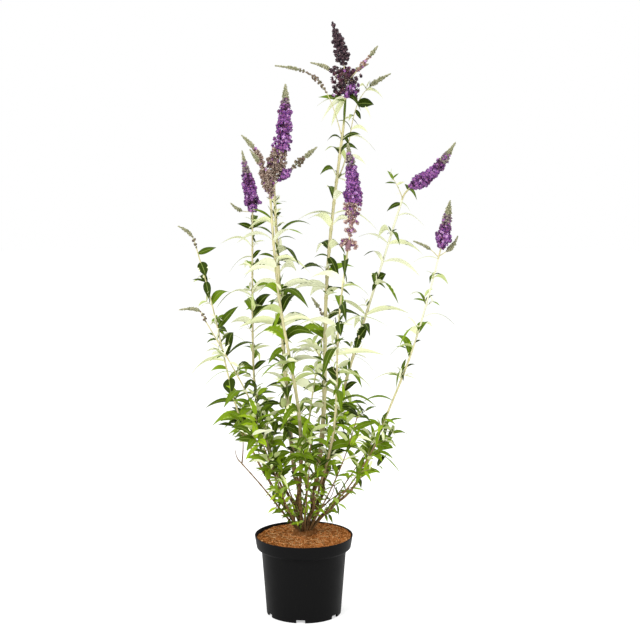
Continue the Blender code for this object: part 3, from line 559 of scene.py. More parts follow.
# A stem's route: its foot on the stool, the points it passes, and its tip. knee is the height where
# the bare bough ends and the leafy cane begins, girths are radii at foot, knee and tip. spacing is
# from one pair of leaves to the next, and size scales the leaves.
Cane = namedtuple("Cane", "name foot via tip knee girths spacing size turn seed")
CANES = (
    Cane("left_outer", (-0.018, -0.006), ((-0.124, -0.020, 0.406), (-0.206, 0.030, 0.701)),
         (-0.247, 0.050, 0.852), 0.345, (0.0043, 0.0032, 0.0017), 0.046, 0.74, 20, 11),
    Cane("left_front", (-0.015, -0.020), ((-0.093, -0.090, 0.462), (-0.160, -0.130, 0.615)),
         (-0.209, -0.150, 0.706), 0.335, (0.0038, 0.0029, 0.0015), 0.048, 0.86, 70, 12),
    Cane("left", (-0.010, 0.008), ((-0.094, 0.065, 0.404), (-0.122, 0.110, 0.656)),
         (-0.122, 0.140, 0.932), 0.320, (0.0045, 0.0037, 0.0022), 0.052, 0.95, 5, 13),
    Cane("left_middle", (-0.003, -0.024), ((-0.006, -0.078, 0.440), (-0.049, -0.105, 0.733)),
         (-0.071, -0.110, 0.981), 0.350, (0.0040, 0.0036, 0.0022), 0.056, 1.00, 50, 14),
    Cane("centre_left", (-0.003, -0.008), ((-0.030, -0.045, 0.440), (-0.053, -0.060, 0.773)),
         (-0.064, -0.070, 0.995), 0.335, (0.0055, 0.0044, 0.0025), 0.054, 1.00, 0, 15),
    Cane("centre", (0.010, 0.006), ((0.038, 0.030, 0.371), (0.052, 0.046, 0.740)),
         (0.088, 0.055, 1.105), 0.330, (0.0052, 0.0045, 0.0026), 0.056, 1.00, 35, 16),
    Cane("centre_front", (0.009, -0.021), ((0.063, -0.085, 0.420), (0.078, -0.150, 0.690)),
         (0.098, -0.190, 0.876), 0.325, (0.0040, 0.0034, 0.0020), 0.052, 1.00, 80, 17),
    Cane("right_back", (0.020, 0.014), ((0.074, 0.074, 0.430), (0.147, 0.110, 0.692)),
         (0.231, 0.120, 0.964), 0.340, (0.0043, 0.0036, 0.0020), 0.056, 0.95, 15, 18),
    Cane("right", (0.025, -0.006), ((0.106, -0.040, 0.300), (0.172, -0.060, 0.439), (0.238, -0.090, 0.618)),
         (0.299, -0.120, 0.849), 0.290, (0.0041, 0.0033, 0.0019), 0.066, 0.88, 60, 19),
    Cane("back", (0.003, 0.023), ((0.004, 0.110, 0.340), (0.028, 0.175, 0.540)),
         (0.050, 0.200, 0.655), 0.300, (0.0038, 0.0028, 0.0015), 0.046, 0.84, 25, 20),
)

# How full each stem is from its knee up, next to its packed girth.
CANE_FULLNESS = {
    "left_outer": 0.80, "left_front": 0.85, "left": 0.85, "left_middle": 1.15, "centre_left": 1.20,
    "centre": 1.20, "centre_front": 0.90, "right_back": 1.15, "right": 0.95, "back": 0.95,
}


class Line:
    """A line of points, measured along its own length."""

    def __init__(self, points):
        self.points = np.asarray(points, float)
        steps = np.linalg.norm(np.diff(self.points, axis=0), axis=1)
        self.along = np.concatenate([[0], np.cumsum(steps)])
        self.length = float(self.along[-1])

    def at(self, distance):
        """The point, or points, at a distance from the start."""
        return np.stack([np.interp(distance, self.along, self.points[:, axis]) for axis in range(3)], axis=-1)

    def direction(self, distance):
        """The unit tangent, or tangents, at a distance from the start."""
        ahead, behind = np.minimum(distance + 0.002, self.length), np.maximum(distance - 0.002, 0)
        return unit(self.at(ahead) - self.at(behind))

    def at_height(self, height):
        """The distance at which the line rises through a height."""
        return float(np.interp(height, self.points[:, 2], self.along))

    def first(self, share, count):
        """The first share of the line, in evenly spaced points."""
        return Line(self.at(np.linspace(0, share * self.length, count)))

    def part(self, start, end, count):
        """The stretch between two distances: evenly spaced points, with one more close to each end."""
        spaced = np.linspace(start, end, count)
        return Line(self.at(np.concatenate([[start, start + 0.002], spaced[1:-1], [end - 0.002, end]])))


def smooth_line(points, samples=240):
    """The natural cubic spline through a few points, over its chord length."""
    points = np.array(points, float)
    knots = np.concatenate([[0], np.cumsum(np.linalg.norm(np.diff(points, axis=0), axis=1))])
    step = np.diff(knots)
    slopes = np.diff(points, axis=0) / step[:, None]
    system = np.eye(len(points))
    known = np.zeros((len(points), 3))
    for i in range(1, len(points) - 1):
        system[i, i - 1:i + 2] = (step[i - 1], 2 * (step[i - 1] + step[i]), step[i])
        known[i] = 6 * (slopes[i] - slopes[i - 1])
    bend = np.linalg.solve(system, known)
    where = np.linspace(0, knots[-1], samples)
    span = np.clip(np.searchsorted(knots, where, side="right") - 1, 0, len(points) - 2)
    size = step[span][:, None]
    after = (where - knots[span])[:, None] / size
    before = 1 - after
    straight = before * points[span] + after * points[span + 1]
    curved = (before ** 3 - before) * bend[span] + (after ** 3 - after) * bend[span + 1]
    return Line(straight + curved * size ** 2 / 6)


def from_stool(foot):
    """The first two points of a stem: in the stool's heart, and its foot on the stool's crown."""
    heart = [centre + 0.5 * (place - centre) for place, centre in zip(foot, STOOL_CENTRE)]
    return (*heart, HEART_HEIGHT), (*foot, FOOT_HEIGHT)


def taper(share, first, last):
    """Radii from first to last, falling faster at the start, as wood swells at its foot."""
    return last + (first - last) * (1 - share) ** 1.6


def bark_ridges(around, along, places, seed):
    """The bark's height from about -1 in its furrows to 1 on its strings: ridges that wander up the limb."""
    wander = 0.7 * lumps(places, 0.045, seed)
    strings = 1 - 2 * np.abs(np.sin(0.5 * FURROWS * around + wander + 14 * along)) ** 0.7
    return 0.65 * strings + 0.45 * lumps(places * (1, 1, 0.35), 0.006, seed + 1)


def grow_bough(wood, route, knee, girths, seed):
    """A bough from the stool's heart to its knee, with a flared foot, its bark's relief, and how old it is.

    Between its ends it wanders off the straight route by BOUGH_WANDER, as old wood does, and has low
    ring scars, bells as high as SCAR_HEIGHT, where its leaves once stood.
    """
    along = np.linspace(0, knee + 0.002, max(30, round(knee / BOUGH_STEP)))
    centres = route.at(along)
    held = np.sin(math.pi * np.clip((along - 0.020) / (knee - 0.020), 0, 1)) ** 0.8
    for axis in (0, 1):
        centres[:, axis] += BOUGH_WANDER * held * lumps(along[:, None] * (1, 0, 0), 0.055, seed + 5 + axis, 12)
    foot = np.clip(1 - (centres[:, 2] - HEART_HEIGHT) / 0.030, 0, 1) ** 2
    radius = taper(along / (knee + 0.002), *girths) * (1 + FOOT_FLARE * foot)
    around = np.arange(BOUGH_SIDES) * math.tau / BOUGH_SIDES
    radial = spokes(centres, BOUGH_SIDES)
    plain = centres[:, None] + radial * radius[:, None, None]
    ridges = bark_ridges(around[None, :], along[:, None], plain, seed)
    age = 1 - np.clip((along / knee - 0.72) / 0.28, 0, 1)
    strength = FURROW_DEPTH * (0.35 + 0.65 * age)[:, None]
    scars = SCAR_HEIGHT * np.exp(-((along[:, None] - np.arange(0.045, knee, 0.031)) / 0.0022) ** 2).sum(axis=1)
    raised = radial * (strength * ridges + scars[:, None])[..., None]
    numbers = wood.points(plain + raised, age=age[:, None], ridge=ridges)
    wood.cover(numbers, wood.points(centres[[0, -1]], age=age[[0, -1]], ridge=0.0))


def grow_stool(wood):
    """A lump with a root flare: an ellipsoid whose radius swells by cosines round it and by the bark."""
    height = np.sin(np.linspace(-0.96, 0.97, STOOL_RINGS) * math.pi / 2)[:, None]
    around = np.arange(STOOL_SIDES) * math.tau / STOOL_SIDES
    knobs = 1 + 0.08 * np.cos(5 * around + 0.6) + 0.05 * np.cos(8 * around + 2.0)
    flare = 1 + 0.16 * np.maximum(0.0, 0.25 - height)
    bumps = 1 + 0.05 * np.sin(7 * around + 9 * height)
    girth = np.sqrt(1 - height ** 2) * knobs * flare
    places = np.stack([
        STOOL_CENTRE[0] + STOOL_RADII[0] * girth * np.cos(around),
        STOOL_CENTRE[1] + STOOL_RADII[1] * girth * np.sin(around),
        STOOL_MIDDLE + STOOL_RADII[2] * bumps * height,
    ], axis=-1)
    out = unit(places - (*STOOL_CENTRE, STOOL_MIDDLE))
    ridges = 0.6 * lumps(places, 0.010, 31) + 0.5 * lumps(places * (1, 1, 0.4), 0.0042, 32)
    lumpy = 0.0013 * lumps(places, 0.019, 33)
    places = places + out * (0.0007 * ridges + lumpy - 0.0012)[..., None]
    numbers = wood.points(places, age=STOOL_AGE, ridge=ridges)
    wood.cover(numbers, wood.points(places[[0, -1]].mean(axis=1), age=STOOL_AGE, ridge=0.0))


routes = {cane.name: smooth_line((*from_stool(cane.foot), *cane.via, cane.tip)) for cane in CANES}
wood = Skin()
grow_stool(wood)
for index, cane in enumerate(CANES):
    route = routes[cane.name]
    girths = (BOUGH_FULLNESS * cane.girths[0], CANE_FULLNESS[cane.name] * cane.girths[1])
    grow_bough(wood, route, route.at_height(cane.knee), girths, 300 + 3 * index)

bark = Finish("bush_bark", BARK_BROWN, 0.88, Specular_IOR_Level=0.04)
own = bark.place((1, 1, 0.25))
age = bark.point_value("age")
ridge = bark.point_value("ridge")
flakes = bark.noise(own, 260, 5, 0.65)
worn = bark.blend(bark.step(flakes, 0.46, 0.72), BARK_BROWN, BARK_TAN)
young = bark.blend(0.85 * (1 - bark.step(age, 0.0, 1.0)), worn, BARK_TAN)
barked = bark.blend(0.85 * (1 - bark.step(ridge, -0.75, 0.10)), young, BARK_FURROW)
# The stool is coated in clinging earth, patched with the dark compost colour as painted shade where the stems
# come out of it.
soil_and_shade = bark.blend(bark.step(flakes, 0.40, 0.62), COMPOST_DARK, CLINGING_SOIL)
bark.colour(bark.blend(0.85 * bark.step(age, 1.1, 1.4), barked, soil_and_shade))
bark.rough(0.80 + 0.15 * flakes)
bark.relief(bark.noise(own, 900, 4, 0.7), 0.0004)
wood.piece("stool_and_boughs", [bark], "bark", ["stool", *("bough_" + cane.name for cane in CANES)], 60)


# The canes are this year's growth: straight, slim and pale, square with rounded corners, swollen
# at each pair of leaves and tan where they come out of the old wood.
CANE_STEP = 0.004
CANE_CREAM = (0.510, 0.460, 0.262)
CANE_LIME = (0.27, 0.285, 0.115)
CANE_TAN = (0.185, 0.112, 0.048)
CANE_DOWNY = (0.600, 0.600, 0.440)

# The age that some canes reach: -0.5 is brown bark, 0 tan, 1 fresh (as the others are) and 1.6 downy.
CANE_AGES = {"left": 0.45, "left_front": 0.85, "right": 1.6, "right_back": 1.5}

# The length of a leaf by its share of the way up a cane: (shares, lengths).
CANE_LEAVES = ((0, 0.35, 0.82, 1), (0.066, 0.110, 0.110, 0.070))
CANE_BARE = (0.012, 0.010)

# A leafy stem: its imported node, its line, its bare lengths at foot and tip, its radii there and its
# leaves. These have a spacing, lengths by their share of the way up, a scale, a turn and a seed.
Stem = namedtuple("Stem", "node line bare girths leaves")
Leaves = namedtuple("Leaves", "spacing lengths size turn seed")

# Each leaf's rise from its stem and roll, in degrees, and its droop in shares of its length.
LEAF_RISE = (46, 66)
LEAF_ROLL = (10, 70)
LEAF_DROOP = (0.34, 0.72)


def pairs_along(stem):
    """Opposite pairs of leaves up a stem, each pair a quarter turn from the last, a little at random.

    Each leaf is its distance up the stem, azimuth, length, rise from the stem, droop and roll.
    """
    leaves = stem.leaves
    rng = random.Random(leaves.seed)
    lead, tail = stem.bare
    span = stem.line.length - lead - tail
    count = max(2, round(span / leaves.spacing))
    for node in range(count):
        share = (node + 0.5) / count
        distance = lead + span * (share + rng.uniform(-0.15, 0.15) / count)
        typical = leaves.size * float(np.interp(share, *leaves.lengths))
        for side in range(2):
            azimuth = math.radians(leaves.turn + 90 * node + 180 * side + rng.uniform(-18, 18))
            length = typical * rng.uniform(0.84, 1.14)
            rise = math.radians(rng.uniform(*LEAF_RISE))
            droop = rng.uniform(*LEAF_DROOP)
            roll = math.radians(rng.choice((-1, 1)) * rng.uniform(*LEAF_ROLL))
            yield distance, azimuth, length, rise, droop, roll


def grow_cane(skin, line, girths, joints=(), age=1.0, sides=12):
    """A cane's skin: a rounded square section, 1 + 0.05 cos 4a, swollen by a bell at each pair of leaves.

    age is that of CANE_AGES, one number or one for each point of the line.
    """
    along = np.linspace(0, line.length, max(8, round(line.length / CANE_STEP)))
    radius = taper(along / line.length, *girths)
    bells = np.exp(-((along[:, None] - np.asarray(joints, float)[None, :]) / 0.0030) ** 2)
    around = np.arange(sides) * math.tau / sides
    section = 1 + 0.05 * np.cos(4 * around)
    radii = (radius * (1 + 0.32 * bells.sum(axis=1)))[:, None] * section
    ages = np.interp(along, line.along, np.broadcast_to(age, line.along.shape))
    grow_tube(skin, line.at(along), radii, sides, age=ages)


stems = []
canes = Skin()
for cane in CANES:
    route = routes[cane.name]
    knee = route.at_height(cane.knee)
    upper = route.part(knee + GAP / 2, route.length, max(6, round((route.length - knee) / 0.07)))
    cane_leaves = Leaves(cane.spacing, CANE_LEAVES, cane.size, cane.turn, cane.seed)
    stem = Stem("cane_" + cane.name, upper, CANE_BARE, cane.girths[1:], cane_leaves)
    stems.append(stem)
    joints = sorted({pair[0] for pair in pairs_along(stem)})
    fine = Line(route.at(np.linspace(knee - 0.003, route.length, 260)))
    full = [CANE_FULLNESS[cane.name] * girth for girth in cane.girths[1:]]
    freshness = np.clip((fine.points[:, 2] - cane.knee) / 0.30, 0, CANE_AGES.get(cane.name, 1))
    grow_cane(canes, fine, full, joints, freshness)

pale = Finish("pale_cane", CANE_CREAM, 0.62, Specular_IOR_Level=0.06)
own = pale.place((1, 1, 0.12))
age = pale.point_value("age")
streaks = pale.noise(own, 500, 3, 0.6)
fresh = pale.blend(pale.step(streaks, 0.42, 0.75), CANE_CREAM, CANE_LIME)
fresh = pale.blend(pale.step(age, 1.0, 1.6), fresh, CANE_DOWNY)
tanned = pale.blend(pale.step(age + 0.3 * streaks, 0.10, 0.75), CANE_TAN, fresh)
pale.colour(pale.blend(pale.step(age, -0.5, 0.1), BARK_BROWN, tanned))
pale.rough(0.55 + 0.15 * streaks)
pale.relief(streaks, 0.0002)
cane_nodes = [stem.node for stem in stems]
canes.piece("canes", [pale], "foliage", cane_nodes, 60)


# The flower stalks carry on from the canes and branch into side spikes. One thin leafy shoot
# leaves the middle cane near its top and ends in a small green spike.
STALK_GIRTHS = (0.0015, 0.0007)
SIDE_STALK_GIRTHS = (0.0012, 0.0006)
BRACT_LEAVES = ((0, 1), (0.058, 0.048))
BRACT_SPACING = 0.026
BRACT_START = 0.006
SHOOT_SPACING = 0.034
SIDE_LEAVES = ((0, 1), (0.064, 0.052))
SIDE_START = 1.020
SIDE_POINTS = ((0.108, 0.083, 1.118), (0.150, 0.130, 1.224), (0.204, 0.140, 1.258))
SIDE_GIRTHS = (0.0016, 0.0008)
SIDE_BLOSSOM = (0.82, 1, 0.012)
SIDE_BARE = 0.030
SIDE_TURN = 40
SIDE_SEED = 61

# A spike: start is its share along the head's first spike (0 on the first itself), then the point it
# passes and its tip. Each run of blossom is (from, to, breadth) in shares of the spike, each stage is
# (from, kind) for what it carries from that share upwards, and slim draws the blossom in at the tip.
Spike = namedtuple("Spike", "start via tip runs stages slim", defaults=(0.0,))
HEADS = {
    "left_outer": (
        Spike(0, (-0.261, 0.050, 0.888), (-0.291, 0.050, 0.908), ((0.10, 0.50, 0.012), (0.50, 1, 0.010)),
              ((0, "bead"), (0.50, "green"))),
    ),
    "left_front": (
        Spike(0, (-0.224, -0.152, 0.735), (-0.272, -0.160, 0.741), ((0.12, 0.45, 0.012), (0.46, 1, 0.009)),
              ((0, "bead"), (0.46, "green"))),
    ),
    "left": (
        Spike(0, (-0.132, 0.140, 1.010), (-0.146, 0.140, 1.080), ((0.05, 1, 0.040),),
              ((0, "plum"), (0.08, "open"), (0.46, "plum"), (0.64, "mauve"), (0.83, "green")), 0.45),
        Spike(0.02, (-0.149, 0.130, 0.938), (-0.173, 0.120, 0.957), ((0.45, 1, 0.009),), ((0, "green"),)),
    ),
    "left_middle": (
        Spike(0, (-0.084, -0.118, 1.040), (-0.115, -0.130, 1.090), ((0.04, 0.70, 0.029), (0.66, 1, 0.013)),
              ((0, "spent"), (0.68, "green"))),
        Spike(0.50, (-0.106, -0.102, 1.090), (-0.135, -0.090, 1.120), ((0.12, 0.66, 0.019), (0.62, 1, 0.012)),
              ((0, "spent"), (0.62, "green"))),
    ),
    "centre_left": (
        Spike(0, (-0.046, -0.075, 1.110), (-0.038, -0.080, 1.232), ((0.12, 1, 0.042),),
              ((0, "spent"), (0.41, "open"), (0.76, "plum"), (0.82, "mauve"), (0.89, "green"))),
        Spike(0.06, (-0.018, -0.088, 1.052), (0.032, -0.100, 1.095),
              ((0.14, 0.42, 0.021), (0.42, 0.78, 0.018), (0.74, 1, 0.011)),
              ((0, "open"), (0.40, "bead"), (0.76, "green"))),
    ),
    "centre": (
        Spike(0, (0.091, 0.060, 1.285), (0.066, 0.060, 1.373), ((0.37, 0.60, 0.060), (0.64, 1, 0.035)),
              ((0, "ragged"), (0.62, "dusky"))),
        Spike(0.02, (0.012, 0.020, 1.256), (-0.063, 0.000, 1.273), ((0.45, 0.70, 0.014), (0.70, 1, 0.010)),
              ((0, "bead"), (0.78, "green"))),
        Spike(0.45, (0.050, 0.085, 1.272), (0.015, 0.100, 1.282), ((0.40, 1, 0.011),),
              ((0, "dusky"), (0.58, "green"))),
        Spike(0.48, (0.128, 0.040, 1.268), (0.169, 0.020, 1.318), ((0.35, 0.68, 0.014), (0.68, 1, 0.011)),
              ((0, "blush"), (0.74, "green"))),
        Spike(0.50, (0.118, 0.085, 1.262), (0.150, 0.100, 1.279), ((0.40, 1, 0.011),), ((0, "green"),)),
    ),
    "centre_front": (
        Spike(0, (0.109, -0.192, 0.985), (0.097, -0.200, 1.106),
              ((0, 0.11, 0.038), (0.15, 0.22, 0.029), (0.23, 0.30, 0.033), (0.31, 1, 0.039)),
              ((0, "faded"), (0.44, "open"), (0.80, "mauve"), (0.91, "green")), 0.15),
    ),
    "right_back": (
        Spike(0, (0.282, 0.115, 1.013), (0.354, 0.100, 1.100), ((0.20, 1, 0.040),),
              ((0, "plum"), (0.20, "open"), (0.60, "plum"), (0.73, "mauve"), (0.83, "green")), 0.30),
    ),
    "right": (
        Spike(0, (0.313, -0.124, 0.915), (0.323, -0.130, 0.980), ((0.22, 1, 0.038),),
              ((0, "open"), (0.54, "plum"), (0.62, "mauve"), (0.76, "green")), 0.38),
        Spike(0.03, (0.280, -0.130, 0.872), (0.242, -0.140, 0.891), ((0.40, 1, 0.008),), ((0, "green"),)),
        Spike(0.05, (0.330, -0.110, 0.876), (0.344, -0.100, 0.899), ((0.35, 1, 0.011),), ((0, "green"),)),
    ),
    "back": (
        Spike(0, (0.040, 0.202, 0.690), (0.017, 0.200, 0.723), ((0.15, 0.55, 0.013), (0.55, 1, 0.010)),
              ((0, "bead"), (0.60, "green"))),
    ),
}

# The points that the leafy sprig beside the right-hand back head passes.
SPRIG_POINTS = ((0.217, 0.100, 1.001), (0.195, 0.090, 1.034))


def head_line(base, heading, spike):
    """The line of a head's first spike: it sets out from the cane's tip in the cane's heading."""
    return smooth_line((base, np.array(base) + 0.006 * heading, spike.via, spike.tip))


def side_line(trunk, trunk_radius):
    """The line of the shoot that leaves the middle cane, its foot on the cane's side."""
    start = trunk.at_height(SIDE_START)
    along = trunk.direction(start)
    out = np.array(SIDE_POINTS[0]) - trunk.at(start)
    out = unit(out - along * (out @ along))
    foot = trunk.at(start) + (trunk_radius + 0.6 * GAP + 0.8 * SIDE_GIRTHS[0]) * out
    return smooth_line((foot, foot + 0.010 * (0.8 * along + 0.6 * out), *SIDE_POINTS))


stalks = Skin()
spike_lines = []
for cane in CANES:
    main_spike, *side_spikes = HEADS[cane.name]
    route = routes[cane.name]
    main = head_line(cane.tip, route.direction(route.length), main_spike)
    girths = (CANE_FULLNESS[cane.name] * cane.girths[2], STALK_GIRTHS[1])
    grow_cane(stalks, main.first(0.98, 80), girths, sides=8)
    spike_lines.append((main, main_spike))
    for spike in side_spikes:
        line = smooth_line((main.at(spike.start * main.length), spike.via, spike.tip))
        grow_cane(stalks, line.first(0.97, 40), SIDE_STALK_GIRTHS, sides=6)
        spike_lines.append((line, spike))
    bare = main_spike.runs[0][0] * main.length
    if bare > BRACT_SPACING:
        bracts = Leaves(BRACT_SPACING, BRACT_LEAVES, 1, cane.turn, cane.seed)
        stalk = main.part(GAP, 0.97 * main.length, 7)
        stems.append(Stem("head_" + cane.name, stalk, (BRACT_START, main.length - bare), STALK_GIRTHS, bracts))
    if cane.name == "right_back":
        sprig = smooth_line((main.at(0.02 * main.length), *SPRIG_POINTS))
        grow_cane(stalks, sprig, SIDE_STALK_GIRTHS, sides=6)

trunk = next(stem for stem in stems if stem.node == "cane_centre")
side = side_line(trunk.line, taper(trunk.line.at_height(SIDE_START) / trunk.line.length, *trunk.girths))
grow_cane(stalks, side.first(0.98, 160), SIDE_GIRTHS, sides=8)
spike_lines.append((side, Spike(0, None, None, (SIDE_BLOSSOM,), ((0, "green"),))))
side_leaves = Leaves(SHOOT_SPACING, SIDE_LEAVES, 1, SIDE_TURN, SIDE_SEED)
side_bare = (SIDE_BARE, (1 - SIDE_BLOSSOM[0]) * side.length)
stems.append(Stem("shoot_top_right", side.part(0, 0.98 * side.length, 12), side_bare, SIDE_GIRTHS, side_leaves))
head_nodes = ["head_" + cane.name for cane in CANES]
stalks.piece("flower_stalks", [pale], "foliage", [*head_nodes, "shoot_top_right"], 60)


# Thin leafy shoots fill the foot of the bush, a few of them dry and bare, and short twigs grow in
# the leaf axils: long leafy ones low down, mere tufts up the canes.
Shoot = namedtuple("Shoot", "name foot via tip girths turn seed")
SHOOTS = (
    Shoot("low_left", (-0.024, -0.015), (-0.095, -0.060, 0.318), (-0.148, -0.082, 0.386),
          (0.0019, 0.0009), 10, 41),
    Shoot("low_left_back", (-0.023, 0.003), (-0.096, 0.022, 0.352), (-0.135, 0.034, 0.470),
          (0.0019, 0.0010), 80, 42),
    Shoot("low_left_front", (-0.015, -0.030), (-0.066, -0.100, 0.360), (-0.105, -0.125, 0.470),
          (0.0019, 0.0010), 40, 43),
    Shoot("low_front", (0.003, -0.032), (0.012, -0.100, 0.350), (0.018, -0.125, 0.450),
          (0.0019, 0.0010), 75, 44),
    Shoot("low_right_front", (0.018, -0.026), (0.088, -0.080, 0.375), (0.125, -0.100, 0.500),
          (0.0020, 0.0010), 30, 45),
    Shoot("low_right_outer", (0.027, -0.017), (0.104, -0.062, 0.318), (0.172, -0.078, 0.432),
          (0.0019, 0.0010), 0, 46),
    Shoot("low_right", (0.031, 0.004), (0.112, 0.010, 0.330), (0.172, 0.025, 0.420),
          (0.0019, 0.0009), 65, 47),
    Shoot("low_back_right", (0.014, 0.026), (0.062, 0.120, 0.340), (0.090, 0.165, 0.450),
          (0.0019, 0.0010), 15, 48),
    Shoot("low_back_left", (-0.009, 0.023), (-0.060, 0.110, 0.330), (-0.095, 0.155, 0.440),
          (0.0019, 0.0010), 55, 49),
)
SHOOT_LEAVES = ((0, 1), (0.060, 0.042))
SHOOT_BARE = (0.055, 0.0)
SHOOT_FULLNESS = {"low_left": 1.5, "low_right_outer": 1.3}

# Dry twigs without leaves: the points each passes, and its radii.
DRY_TWIGS = (
    (((-0.140, -0.078, 0.376), (-0.1375, -0.070, 0.412), (-0.139, -0.064, 0.452)), (0.0016, 0.0009)),
    (((-0.146, -0.081, 0.382), (-0.152, -0.082, 0.394), (-0.155, -0.081, 0.408)), (0.0013, 0.0007)),
    (((0.026, -0.010, 0.238), (0.073, -0.020, 0.284), (0.126, -0.030, 0.316)), (0.0024, 0.0008)),
    (((0.098, -0.026, 0.301), (0.112, -0.034, 0.303), (0.122, -0.038, 0.292)), (0.0010, 0.0005)),
    (((0.050, -0.016, 0.264), (0.066, -0.034, 0.292), (0.074, -0.046, 0.330)), (0.0013, 0.0007)),
    (((-0.036, -0.020, 0.250), (-0.060, -0.024, 0.300), (-0.070, -0.030, 0.352)), (0.0014, 0.0007)),
)

# What an axil bears, by its height on the bush: the chance of a twig, its length and its leaves'.
TWIG_HEIGHTS = (0.20, 0.27, 0.33, 0.46, 0.54, 0.72, 1.15)
TWIG_CHANCES = (0.15, 0.26, 0.56, 0.60, 0.50, 0.50, 0.36)
TWIG_LENGTHS = (0.010, 0.018, 0.038, 0.042, 0.028, 0.018, 0.012)
TWIG_LEAVES = (0.016, 0.025, 0.042, 0.046, 0.038, 0.030, 0.020)
TWIG_SPACING = 0.0145
TWIG_GIRTHS = (0.0009, 0.0004)
TWIG_SPREAD = math.radians(6)
TWIG_DROOP = 0.15

# The leaves of the sprig beside the right-hand back head.
SPRIG_LEAVES = Leaves(0.020, ((0, 1), (0.020, 0.014)), 1, 30, 71)

# The low shoots' leaves are held more level than the canes', and the lowest of them stay small.
LOW_DROOP = 0.25
LOW_HEIGHTS = (0.29, 0.36)
LOW_SIZES = (0.45, 1)

# As in the photo, most of the upper leaves turn their felted undersides to the front. The chances go
# by height, for large and for small leaves. To the right, large leaves have up to FELT_MORE in addition.
FELT_HEIGHTS = (0.40, 0.60)
FELT_CHANCES = (0.34, 0.80)
SMALL_FELT_CHANCES = (0.28, 0.64)
FELT_RIGHT = (0.10, 0.26)
FELT_MORE = 0.26

# Where the photo shows sky: past a share of a shoot, low on the left, and round single tips, given
# across and up. Tufts grow at shares up the bare boughs.
OPEN_PAST = {"shoot_low_left": 0.46}
OPEN_LEFT = (-0.096, 0.400)
SKY_TIPS = np.array((
    (-0.267, 0.628), (-0.220, 0.579), (-0.290, 0.715), (-0.245, 0.653), (0.268, 0.478), (0.308, 0.606),
))
SKY_REACH = 0.004
TUFT_SHARES = (0.18, 0.32, 0.46, 0.60, 0.74, 0.88)
TUFT_LENGTH = 0.020
TUFT_LEAVES = 0.022

# A leaf sets out from its root along out, sinks by droop of its length at its tip, and has its
# breadth along side. spring scales how much it arches and twists at random.
Axil = namedtuple("Axil", "line distance azimuth")
Leaf = namedtuple("Leaf", "root out length droop side spring")

# A leaf of the rule stands in the first of these turns, in degrees, that has its tip on a corner of
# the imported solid. The source left out the leaves that would touch a neighbour.
LEAF_TRIES = (0, 22, -22, 44, -44)
TIP_MATCH = 0.0004


def outward(heading, azimuth):
    """The unit direction square to a heading at an azimuth."""
    right, deep = across_axes(heading)
    return math.cos(azimuth) * right + math.sin(azimuth) * deep


def level_side(way):
    """The level unit direction square to a way."""
    side = np.cross((0.0, 0.0, 1.0), way)
    return side / max(np.linalg.norm(side), 1e-6)


def make_leaf(stem, distance, out, length, droop, roll, spring=1.0):
    """A leaf whose root is a little inside its stem, its side level and then rolled about its own line."""
    root = stem.line.at(distance) - 0.8 * taper(distance / stem.line.length, *stem.girths) * out
    flat = level_side(out)
    side = math.cos(roll) * flat + math.sin(roll) * np.cross(out, flat)
    return Leaf(root, out, length, droop, side, spring)


def ruled_leaf(stem, distance, azimuth, length, rise, droop, roll):
    """A leaf of the source's rule, out at an azimuth from its stem and up along it by its rise."""
    heading = stem.line.direction(distance)
    out = math.cos(rise) * heading + math.sin(rise) * outward(heading, azimuth)
    return make_leaf(stem, distance, out, length, droop, roll)


def tip_of(leaf):
    """The tip of a leaf, root + length (out - up droop)."""
    return leaf.root + leaf.length * (leaf.out - np.array((0.0, 0.0, leaf.droop)))


def turn_felt(leaf, chance, rng):
    """The leaf, rolled the other way about its own line unless it shows the front the side it drew.

    The chance is that of the felted side.
    """
    felt_shows = np.cross(leaf.out, leaf.side)[1] > 0
    if felt_shows == (rng.random() < chance):
        return leaf
    flat = level_side(leaf.out)
    return leaf._replace(side=2 * (leaf.side @ flat) * flat - leaf.side)


def in_sky(stem, distance):
    """Whether a place on a stem is where the photo shows sky."""
    across, _, height = stem.line.at(distance)
    past = distance > OPEN_PAST.get(stem.node, 1) * stem.line.length
    return past or (across < OPEN_LEFT[0] and height < OPEN_LEFT[1])


def packed_leaf(stem, corners, distance, azimuth, shape):
    """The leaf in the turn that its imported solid's corners have it in, or None where they have none."""
    for turn in LEAF_TRIES:
        leaf = ruled_leaf(stem, distance, azimuth + math.radians(turn), *shape)
        if np.linalg.norm(corners - tip_of(leaf), axis=1).min() < TIP_MATCH:
            return leaf
    return None


def dress(stem, rng):
    """A stem's leaves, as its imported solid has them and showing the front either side, and its axils."""
    corners = np.array([vert.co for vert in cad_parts[stem.node].data.vertices])
    found, axils = [], []
    for distance, azimuth, *shape in pairs_along(stem):
        if in_sky(stem, distance):
            continue
        axils.append(Axil(stem.line, distance, azimuth))
        leaf = packed_leaf(stem, corners, distance, azimuth, shape)
        if leaf is None:
            continue
        tip = tip_of(leaf)
        across, _, height = leaf.root
        to_right = np.interp(across, FELT_RIGHT, (0, 1))
        leaf = turn_felt(leaf, np.interp(height, FELT_HEIGHTS, FELT_CHANCES) + FELT_MORE * to_right, rng)
        if stem.node.startswith("shoot_low"):
            size = float(np.interp(height, LOW_HEIGHTS, LOW_SIZES))
            leaf = leaf._replace(length=size * leaf.length, droop=LOW_DROOP * leaf.droop)
        if np.abs(SKY_TIPS - tip[[0, 2]]).max(axis=1).min() > SKY_REACH:
            found.append(leaf)
    return found, axils


